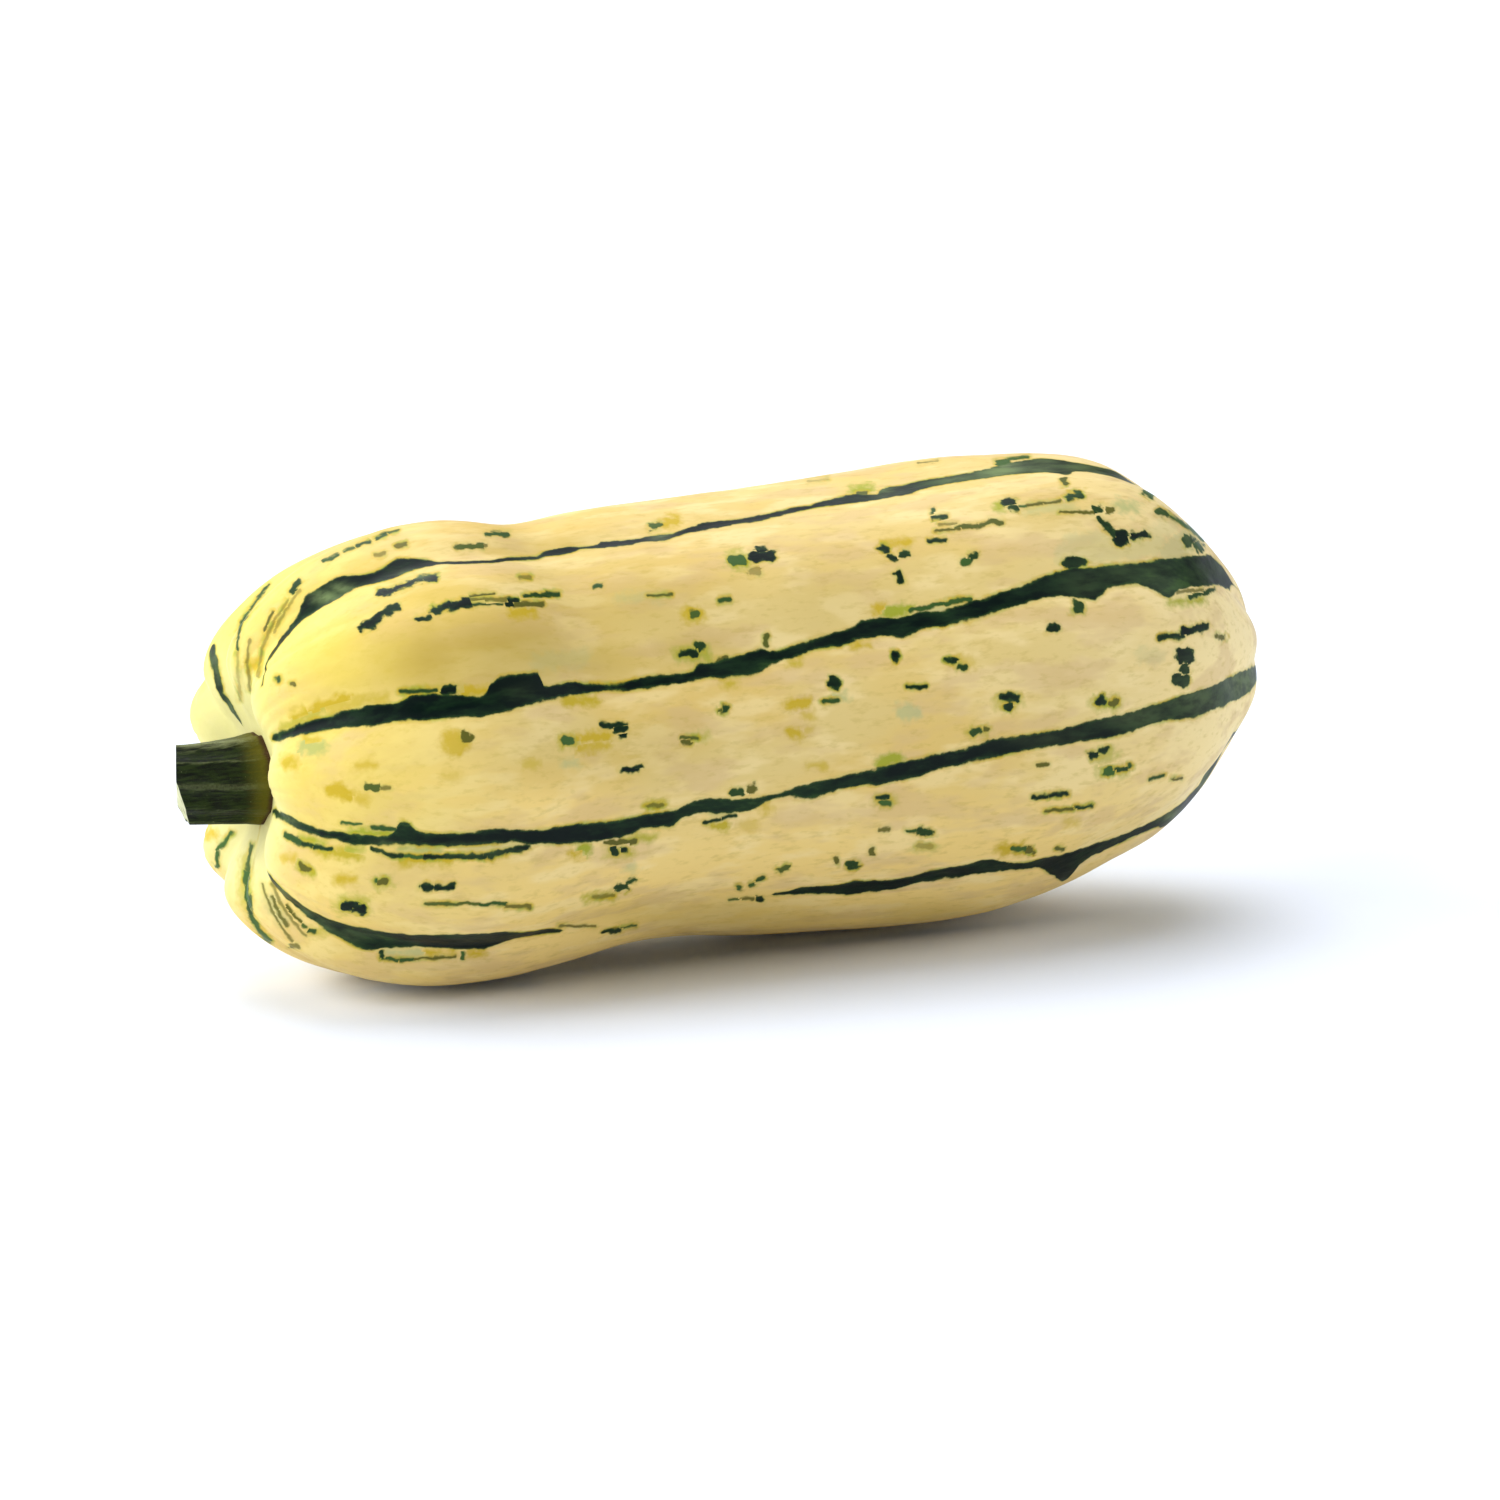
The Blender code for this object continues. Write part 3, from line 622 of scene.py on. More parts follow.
def make_camera():
    """The camera at the photograph's viewing angle, aimed so that the target falls at its picture place."""
    yaw, elevation = math.radians(CAMERA_YAW_DEG), math.radians(CAMERA_ELEVATION_DEG)
    level = math.cos(elevation)
    back = Vector((-math.sin(yaw) * level, -math.cos(yaw) * level, math.sin(elevation)))
    right = Vector((math.cos(yaw), -math.sin(yaw), 0.0))
    up = back.cross(right)
    metres_per_px = CAMERA_DISTANCE / FOCAL_PX
    aim_right = (IMAGE_SIZE / 2 - TARGET_PX[0]) * metres_per_px
    aim_down = (IMAGE_SIZE / 2 - TARGET_PX[1]) * metres_per_px
    location = TARGET + back * CAMERA_DISTANCE
    aim = TARGET + right * aim_right - up * aim_down
    data = bpy.data.cameras.new("camera")
    data.sensor_width = SENSOR_WIDTH_MM
    data.lens = FOCAL_PX / IMAGE_SIZE * SENSOR_WIDTH_MM
    data.clip_start = CAMERA_NEAR
    data.clip_end = CAMERA_FAR
    camera = bpy.data.objects.new("camera", data)
    camera.rotation_mode = "QUATERNION"
    camera.location = location
    camera.rotation_quaternion = (location - aim).to_track_quat("Z", "Y")
    bpy.context.scene.collection.objects.link(camera)
    bpy.context.scene.camera = camera
    return location, np.array(camera.rotation_quaternion.to_matrix())


class Picture:
    """The photograph's frame: places in it of points on the rind, and the rind under a place in it."""

    def __init__(self, location, turn, rind):
        self.location, self.turn, self.rind = location, turn, rind
        local = (rind.vertices - np.array(location)) @ turn
        middle = IMAGE_SIZE / 2
        self.place = np.stack([middle + FOCAL_PX * local[:, 0] / -local[:, 2],
                               middle - FOCAL_PX * local[:, 1] / -local[:, 2]], axis=-1)
        self.face_place = rind.face_middle(self.place)
        self.face_centre = rind.face_middle(rind.vertices)
        self.tree = BVHTree.FromPolygons([Vector(v) for v in rind.vertices], rind.faces)
        self.face_normal = self.make_normals()
        view = np.array(location) - self.face_centre
        view /= np.linalg.norm(view, axis=1)[:, None]
        self.facing = np.einsum("ij,ij->i", self.face_normal, view)

    def make_normals(self):
        """Each face's outward normal."""
        corners = np.concatenate([[0], np.cumsum(self.rind.face_size)[:-1]])
        a, b, c = (self.rind.vertices[self.rind.corner_vertex[corners + k]] for k in range(3))
        normal = np.cross(b - a, c - a)
        return normal / np.maximum(np.linalg.norm(normal, axis=1), 1e-12)[:, None]

    def rind_under(self, x, y):
        """The rind seen at a picture place: its distance from the stem pole and angle round the fruit."""
        middle = IMAGE_SIZE / 2
        ray = self.turn @ np.array([(x - middle) / FOCAL_PX, (middle - y) / FOCAL_PX, -1.0])
        hit, _, face, _ = self.tree.ray_cast(self.location, Vector(ray).normalized())
        if hit is None:
            return None
        corners = self.rind.faces[face]
        shares = poly_3d_calc([Vector(self.rind.vertices[v]) for v in corners], hit)
        station = sum(w * self.rind.vertex_station[v] for w, v in zip(shares, corners))
        arc = np.interp(station, np.arange(STATIONS), self.rind.arc)
        line_side, line_up = centre_line(hit.x - ORIGIN_X)
        return arc, math.atan2(hit.z - line_up, line_side - hit.y)


def seen_stripe(picture, groove, points):
    """Samples along a stripe in sight: distance from the stem pole, middle and half width, in metres."""
    rind = picture.rind
    samples = []
    places = np.array(points, float)
    ahead = np.gradient(places[:, :2], axis=0)
    ahead /= np.linalg.norm(ahead, axis=1)[:, None]
    for (x, y, width), (run, fall) in zip(places, ahead):
        edges = []
        for side in (-0.5, 0.5):
            reach = side * abs(width)
            found = picture.rind_under(x + fall * reach, y - run * reach)
            if found is not None:
                arc, angle = found
                at = np.interp(arc, rind.arc, rind.grooves[:, groove])
                radius = np.interp(arc, rind.arc, rind.radius)
                off = (angle - at + math.pi) % (2 * math.pi) - math.pi
                edges.append((arc, off * radius))
        if len(edges) == 2:
            (arc_a, off_a), (arc_b, off_b) = edges
            half = abs(off_b - off_a) / 2
            samples.append(((arc_a + arc_b) / 2, (off_a + off_b) / 2, half if width > 0 else -half))
    return sorted(samples)


# The usual stripe: distance from the stem pole and half width there, and the spread of its fullness
PLAIN_STRIPE_MM = (
    (0.0, 0.15),
    (10.0, 0.35),
    (26.0, 0.8),
    (45.0, 1.4),
    (90.0, 1.2),
    (150.0, 1.4),
    (205.0, 1.6),
    (225.0, 1.2),
    (236.0, 0.2),
    (244.0, -0.5),
)
PLAIN_STRIPE_SEED = 40
PLAIN_STRIPE_FULLNESS = (0.75, 1.25)

# Wanderings of a stripe: seed, step and size in millimetres, for its middle and for its half width
MIDDLE_WANDER = (60, 14.0, 0.5)
WIDTH_WANDERS = ((80, 5.0, 0.45), (95, 17.0, 0.35))


def plain_half_width(arc, groove):
    """The usual half width of a stripe, in metres, at distances from the stem pole."""
    fullness = random.Random(PLAIN_STRIPE_SEED + groove).uniform(*PLAIN_STRIPE_FULLNESS)
    places, halves = zip(*PLAIN_STRIPE_MM)
    return np.interp(arc / MM, places, halves) * fullness * MM


def wander(arc, seed, step_mm, size_mm):
    """A seeded wandering along the fruit, in metres, within about the given size."""
    rng = random.Random(seed)
    count = int(arc[-1] / MM / step_mm) + 2
    knots = [rng.uniform(-size_mm, size_mm) for _ in range(count)]
    return np.interp(arc / MM, np.arange(count) * step_mm, knots) * MM


# Where a stripe in sight ends: the loss of half width, and the length over which it goes. A groove that
# passes over the top has its hidden stripe beyond, and one that ends at the blossom end fades more slowly.
# Past the last sample a thin tail is left, as a share of the usual stripe.
STRIPE_END_LOSS = 2.5 * MM
STRIPE_END_LENGTH = 5.0 * MM
LONG_END_LENGTH = 26.0 * MM
GROOVES_OVER_THE_TOP = (9,)
GROOVES_TO_THE_TIP = (2,)
TAIL_SHARE = 0.6


def stripe_tables(picture):
    """The middle and the half width of every groove's stripe at every station, in millimetres."""
    rind = picture.rind
    middles, halves = [], []
    for groove in range(RIB_COUNT):
        seed, step, size = MIDDLE_WANDER
        middle = wander(rind.arc, seed + groove, step, size)
        half = plain_half_width(rind.arc, groove)
        for seed, step, size in WIDTH_WANDERS:
            half = half + wander(rind.arc, seed + groove, step, size)
        if groove in STRIPES_PX:
            samples = np.array(seen_stripe(picture, groove, STRIPES_PX[groove]))
            first, last = samples[0, 0], samples[-1, 0]
            seen_middle = np.interp(rind.arc, samples[:, 0], samples[:, 1])
            seen_half = np.interp(rind.arc, samples[:, 0], samples[:, 2])
            begun = smooth_step(first - STRIPE_END_LENGTH, first, rind.arc)
            end_length = LONG_END_LENGTH if groove in GROOVES_TO_THE_TIP else STRIPE_END_LENGTH
            ended = smooth_step(last, last + end_length, rind.arc)
            seen_half = seen_half - STRIPE_END_LOSS * (1 - begun) - STRIPE_END_LOSS * ended
            seen = 1.0
            if groove in GROOVES_OVER_THE_TOP:
                seen = 1 - smooth_step(last + STRIPE_END_LENGTH, last + 2 * STRIPE_END_LENGTH, rind.arc)
            seen_half = np.where(rind.arc > last, np.maximum(seen_half, TAIL_SHARE * half), seen_half)
            middle = middle + (seen_middle - middle) * seen
            half = half + (seen_half - half) * seen
        middles.append(middle / MM)
        halves.append(half / MM)
    return np.array(middles), np.array(halves)


# Marks out of sight: the stations and the facing that they keep clear of, the radius at which every one
# stands, the spread of their turn, and how far a mark reaches at most
HIDDEN_FIRST_STATION = 18
HIDDEN_LAST_STATIONS = 12
HIDDEN_FACING = 0.10
HIDDEN_FULL_RADIUS_MM = 42
HIDDEN_TURN_DEG = 9.0
HIDDEN_REACH = 14 * MM

# Each kind of them: how many, its seed, the distance that it keeps from a groove, its usual and greatest
# length and the spread of that, its widths and its tones. A patch has a strength as well, and some flecks
# have a companion beside them: its chance, how far along and across it lies, and its share of the size.
HIDDEN_FLECKS = {
    "count": 190, "seed": 11, "clear_mm": 2.4, "length_mm": 1.4, "longest_mm": 7.5, "spread": (0.35, 0.5),
    "widths_mm": (0.7, 1.9), "tones": (0.05, 0.1, 0.2, 0.3, 0.4, 0.8),
    "companion": (0.35, 0.6, 0.75, 0.6, 0.7),
}
HIDDEN_PATCHES = {
    "count": 90, "seed": 12, "clear_mm": 1.0, "length_mm": 3.0, "longest_mm": 13.0, "spread": (0.3, 0.5),
    "widths_mm": (1.0, 2.6), "tones": (0.1, 0.15, 0.3, 0.45, 0.9), "strengths": (0.4, 0.9),
}

# Rounding of the marks' corners, as a share of the smaller half size
FLECK_ROUNDNESS = 0.95
PATCH_ROUNDNESS = 0.95


def round_box(p, q, half_p, half_q, roundness):
    """Distance outside a box with rounded corners, negative inside."""
    corner = roundness * min(half_p, half_q)
    a, b = np.abs(p) - half_p + corner, np.abs(q) - half_q + corner
    outside = np.hypot(np.maximum(a, 0.0), np.maximum(b, 0.0))
    return outside + np.minimum(np.maximum(a, b), 0.0) - corner


class Marks:
    """One layer of small marks: each face keeps its corners' places in its nearest mark, in millimetres."""

    def __init__(self, picture, roundness):
        self.picture = picture
        self.rind = picture.rind
        self.roundness = roundness
        faces, corners = len(self.rind.faces), len(self.rind.corner_vertex)
        self.best = np.full(faces, FAR_MM)
        self.place = np.full((corners, 3), FAR_MM)
        self.size = np.zeros((corners, 3))
        self.corner_place = picture.place[self.rind.corner_vertex]
        self.corner_point = self.rind.vertices[self.rind.corner_vertex]

    def keep(self, chosen, centres, corners, half_p, half_q, strength, tone):
        """Takes the mark for the chosen faces that it is nearer to than any mark before it."""
        distance = round_box(*centres, half_p, half_q, self.roundness)
        closer = chosen & (distance < self.best)
        self.best[closer] = distance[closer]
        mine = closer[self.rind.corner_face]
        p, q = corners
        self.place[mine] = np.stack([p[mine], q[mine], np.full(mine.sum(), strength)], axis=-1)
        self.size[mine] = (half_p, half_q, tone)

    def add_seen(self, x, y, length, width, turn_deg, tone, strength=1.0):
        """A mark at a place in the picture, with its size in pixels."""
        turn = math.radians(turn_deg)

        def local(places):
            right, down = (places[:, 0] - x) / PX_PER_MM, (places[:, 1] - y) / PX_PER_MM
            return (right * math.cos(turn) - down * math.sin(turn),
                    right * math.sin(turn) + down * math.cos(turn))

        halves = length / 2 / PX_PER_MM, width / 2 / PX_PER_MM
        centres, corners = local(self.picture.face_place), local(self.corner_place)
        self.keep(self.picture.facing > 0.0, centres, corners, *halves, strength, tone)

    def add_streak(self, width, tone, points):
        """A streak through places in the picture."""
        for (x0, y0), (x1, y1) in zip(points[:-1], points[1:]):
            turn = math.degrees(math.atan2(y0 - y1, x1 - x0))
            length = math.hypot(x1 - x0, y1 - y0) + width
            self.add_seen((x0 + x1) / 2, (y0 + y1) / 2, length, width, turn, tone)

    def add_hidden(self, centre, along, across, length, width, tone, strength=1.0):
        """A mark out of sight, at a point on the rind, with its size in millimetres."""

        def local(points):
            off = (points - centre) / MM
            return off @ along, off @ across

        near = np.linalg.norm(self.picture.face_centre - centre, axis=1) < HIDDEN_REACH
        chosen = near & (self.picture.facing <= 0.0)
        centres, corners = local(self.picture.face_centre), local(self.corner_point)
        self.keep(chosen, centres, corners, length / 2, width / 2, strength, tone)


def hidden_spots(picture, count, clear_mm, rng):
    """Places out of sight: the point, and the directions along the rib and across it."""
    rind = picture.rind
    around = len(rind.share)
    last_quad = (STATIONS - 3) * around
    across_all = rind.corner_across()
    spots = []
    while len(spots) < count:
        station = rng.randrange(HIDDEN_FIRST_STATION, STATIONS - HIDDEN_LAST_STATIONS)
        column = rng.randrange(around)
        face = (station - 1) * around + column
        radius = rind.radius[station] / MM
        if face >= last_quad or picture.facing[face] > -HIDDEN_FACING:
            continue
        if rng.random() > radius / HIDDEN_FULL_RADIUS_MM:
            continue
        if abs(across_all[4 * face]) < clear_mm:
            continue
        corners = rind.vertices[rind.corner_vertex[4 * face:4 * face + 4]]
        along = corners[3] - corners[0]
        along = along / np.linalg.norm(along)
        normal = picture.face_normal[face]
        turn = math.radians(rng.gauss(0.0, HIDDEN_TURN_DEG))
        across = np.cross(normal, along)
        turned = along * math.cos(turn) + across * math.sin(turn)
        spots.append((corners.mean(axis=0), turned, np.cross(normal, turned)))
    return spots


def add_hidden_marks(marks, kind):
    """The marks of one kind out of sight."""
    rng = random.Random(kind["seed"])
    for centre, along, across in hidden_spots(marks.picture, kind["count"], kind["clear_mm"], rng):
        length = min(kind["length_mm"] * math.exp(rng.gauss(*kind["spread"])), kind["longest_mm"])
        width = min(rng.uniform(*kind["widths_mm"]), length)
        tone = rng.choice(kind["tones"])
        strength = rng.uniform(*kind["strengths"]) if "strengths" in kind else 1.0
        marks.add_hidden(centre, along, across, length, width, tone, strength)
        if "companion" in kind:
            chance, off_along, off_across, long_share, wide_share = kind["companion"]
            if rng.random() < chance:
                beside = centre + along * rng.uniform(-off_along, off_along) * length * MM
                beside = beside + across * width * off_across * MM
                marks.add_hidden(beside, along, across, length * long_share, width * wide_share, tone)


def dark_marks(picture):
    """The layer of green flecks and streaks."""
    marks = Marks(picture, FLECK_ROUNDNESS)
    for width, tone, *points in STREAKS_PX:
        marks.add_streak(width, tone, points)
    for fleck in FLECKS_PX:
        marks.add_seen(*fleck)
    add_hidden_marks(marks, HIDDEN_FLECKS)
    return marks


def soft_marks(picture):
    """The layer of yellow and greyish patches."""
    marks = Marks(picture, PATCH_ROUNDNESS)
    for patch in PATCHES_PX:
        marks.add_seen(*patch)
    add_hidden_marks(marks, HIDDEN_PATCHES)
    return marks


# How squarely the rind has to face the camera for a tint to begin, and to be full
TINT_FACING = (-0.05, 0.25)


def picture_tint(picture, blobs):
    """Soft broad tints by place in the picture, on the side in sight."""
    view = np.array(picture.location) - picture.rind.vertices
    total = np.zeros(len(picture.rind.vertices))
    for x, y, reach_x, reach_y, strength in blobs:
        off = ((picture.place[:, 0] - x) / reach_x) ** 2 + ((picture.place[:, 1] - y) / reach_y) ** 2
        total = np.maximum(total, strength * np.exp(-off))
    normals = np.zeros_like(view)
    np.add.at(normals, picture.rind.corner_vertex, picture.face_normal[picture.rind.corner_face])
    facing = np.einsum("ij,ij->i", normals, view) / np.maximum(
        np.linalg.norm(normals, axis=1) * np.linalg.norm(view, axis=1), 1e-12)
    return total * smooth_step(*TINT_FACING, facing)


def add_values(mesh, name, kind, domain, values):
    """A named attribute of the mesh, which the material reads."""
    attribute = mesh.attributes.new(name, kind, domain)
    field = "vector" if kind == "FLOAT_VECTOR" else "value"
    attribute.data.foreach_set(field, np.ascontiguousarray(values, np.float32).ravel())


def new_object(name, vertices, faces, material):
    """A smooth mesh object."""
    mesh = bpy.data.meshes.new(name)
    mesh.from_pydata(vertices.tolist(), [], faces)
    mesh.update()
    mesh.shade_smooth()
    mesh.materials.append(material)
    piece = bpy.data.objects.new(name, mesh)
    bpy.context.scene.collection.objects.link(piece)
    return piece


class Nodes:
    """Short calls for building a material's nodes."""

    def __init__(self, name):
        self.material = bpy.data.materials.new(name)
        self.material.use_nodes = True
        self.tree = self.material.node_tree
        self.surface = self.tree.nodes["Principled BSDF"]

    def add(self, kind, **settings):
        node = self.tree.nodes.new(kind)
        for key, value in settings.items():
            setattr(node, key, value)
        return node

    def put(self, socket, value):
        """Joins a socket to another, or sets its own value."""
        if isinstance(value, bpy.types.NodeSocket):
            self.tree.links.new(value, socket)
        else:
            socket.default_value = value

    def math(self, operation, a, b=0.0, c=0.0, clamp=False):
        node = self.add("ShaderNodeMath", operation=operation, use_clamp=clamp)
        for socket, value in zip(node.inputs, (a, b, c)):
            self.put(socket, value)
        return node.outputs[0]

    def times(self, a, b, clamp=False):
        return self.math("MULTIPLY", a, b, clamp=clamp)

    def plus(self, a, b):
        return self.math("ADD", a, b)

    def minus(self, a, b):
        return self.math("SUBTRACT", a, b)

    def mix(self, share, a, b):
        """A colour share of the way from a to b."""
        node = self.add("ShaderNodeMix", data_type="RGBA")
        self.put(node.inputs[0], share)
        for socket, value in ((node.inputs[6], a), (node.inputs[7], b)):
            self.put(socket, value if isinstance(value, bpy.types.NodeSocket) else (*value, 1.0))
        return node.outputs[2]

    def layers(self, colour, *coats):
        """A colour with coats laid over it in turn, each given as its share and its own colour."""
        for share, coat in coats:
            colour = self.mix(share, colour, coat)
        return colour

    def ramp(self, value, low, high, to_low=0.0, to_high=1.0):
        """A smooth rise of the value between two levels."""
        node = self.add("ShaderNodeMapRange", interpolation_type="SMOOTHSTEP")
        for name, setting in (("Value", value), ("From Min", low), ("From Max", high),
                              ("To Min", to_low), ("To Max", to_high)):
            self.put(node.inputs[name], setting)
        return node.outputs["Result"]

    def split(self, vector):
        node = self.add("ShaderNodeSeparateXYZ")
        self.put(node.inputs[0], vector)
        return node.outputs

    def value(self, name):
        """A single value kept in the mesh."""
        return self.add("ShaderNodeAttribute", attribute_name=name).outputs["Fac"]

    def triple(self, name):
        """Three values kept in the mesh as a vector."""
        return self.split(self.add("ShaderNodeAttribute", attribute_name=name).outputs["Vector"])

    def place_mm(self, stretch=(1.0, 1.0, 1.0)):
        """The point's place in millimetres, with each axis scaled."""
        coordinates = self.add("ShaderNodeTexCoord").outputs["Object"]
        node = self.add("ShaderNodeVectorMath", operation="MULTIPLY")
        self.put(node.inputs[0], coordinates)
        node.inputs[1].default_value = tuple(s / MM for s in stretch)
        return node.outputs[0]

    def noise_node(self, place, size_mm, detail, roughness, shift):
        node = self.add("ShaderNodeTexNoise")
        moved = self.add("ShaderNodeVectorMath", operation="ADD")
        self.put(moved.inputs[0], place)
        moved.inputs[1].default_value = (shift, shift * 0.7, -shift)
        self.put(node.inputs["Vector"], moved.outputs[0])
        node.inputs["Scale"].default_value = 1 / size_mm
        node.inputs["Detail"].default_value = detail
        node.inputs["Roughness"].default_value = roughness
        return node

    def noise(self, place, size_mm, detail=2.0, roughness=0.5, shift=0.0):
        """Noise with features of a size in millimetres, mostly between 0.3 and 0.7."""
        return self.noise_node(place, size_mm, detail, roughness, shift).outputs[0]

    def wobble(self, place, size_mm, reach_mm, shift):
        """Two independent noises about zero, mostly within the reach."""
        node = self.noise_node(place, size_mm, 1.5, 0.5, shift)
        return [self.math("MULTIPLY_ADD", part, reach_mm * 5.0, reach_mm * -2.5)
                for part in self.split(node.outputs["Color"])[:2]]

    def bump(self, height, distance_mm, strength, normal):
        """A bump whose height of 1 stands for a distance in millimetres."""
        node = self.add("ShaderNodeBump")
        self.put(node.inputs["Height"], height)
        node.inputs["Distance"].default_value = distance_mm * MM
        node.inputs["Strength"].default_value = strength
        if normal is not None:
            self.put(node.inputs["Normal"], normal)
        return node.outputs["Normal"]

    def finish(self, colour, roughness, shine, bumps):
        """Fills in the shader. Bumps are heights, each with its distance in millimetres and strength."""
        relief = None
        for height, distance_mm, strength in bumps:
            relief = self.bump(height, distance_mm, strength, relief)
        for name, value in (("Base Color", colour), ("Roughness", roughness), ("Normal", relief)):
            self.put(self.surface.inputs[name], value)
        self.surface.inputs["Specular IOR Level"].default_value = shine
        return self.material


def mark_distance(nodes, layer, roundness, wobble):
    """Distance in millimetres outside the nearest mark of a layer, that mark's tone and strength, and how
    far its edge may stray, which is less for a thin one."""
    p, q, strength = nodes.triple(layer + "_place")
    half_p, half_q, tone = nodes.triple(layer + "_size")
    least = nodes.math("MINIMUM", half_p, half_q)
    corner = nodes.times(least, roundness)
    stray = nodes.ramp(least, 0.2, 0.9, 0.4, 1.0)
    outs = []
    for place, half, shift in ((p, half_p, wobble[0]), (q, half_q, wobble[1])):
        off = nodes.math("ABSOLUTE", nodes.math("MULTIPLY_ADD", shift, stray, place))
        outs.append(nodes.minus(nodes.plus(off, corner), half))
    a, b = outs
    a_out, b_out = nodes.math("MAXIMUM", a, 0.0), nodes.math("MAXIMUM", b, 0.0)
    squares = nodes.math("MULTIPLY_ADD", a_out, a_out, nodes.times(b_out, b_out))
    inside = nodes.math("MINIMUM", nodes.math("MAXIMUM", a, b), 0.0)
    distance = nodes.plus(nodes.math("SQRT", squares), inside)
    return nodes.minus(distance, corner), tone, strength, stray


CREAM = (0.735, 0.550, 0.200)
PALE_CREAM = (0.885, 0.700, 0.330)
WARM = (0.735, 0.515, 0.155)
# A lighter cream for the underside and the lower ribs: painted light
LIT_LOW_CREAM = (0.880, 0.630, 0.210)
YELLOW = (0.740, 0.560, 0.080)
STEM_END_CREAM = (0.640, 0.630, 0.270)
TAN = (0.480, 0.325, 0.045)
PINK_TAN = (0.660, 0.455, 0.205)
GOLDEN = (0.540, 0.365, 0.012)
YELLOW_GREEN = (0.300, 0.340, 0.015)
GREY_GREEN = (0.400, 0.440, 0.200)
DEEP_GREEN = (0.002, 0.007, 0.005)
MID_GREEN = (0.008, 0.024, 0.009)
LIGHT_GREEN = (0.050, 0.110, 0.022)
SHEEN_PALE_GREEN = (0.200, 0.270, 0.100)
OLIVE = (0.110, 0.105, 0.016)
CORK = (0.36, 0.26, 0.13)
CORK_DARK = (0.12, 0.085, 0.045)


RIND_SHINE = 0.09
# How far a stripe is pushed back, in millimetres, where a tint leaves it out
NO_STRIPE_MM = 4.0


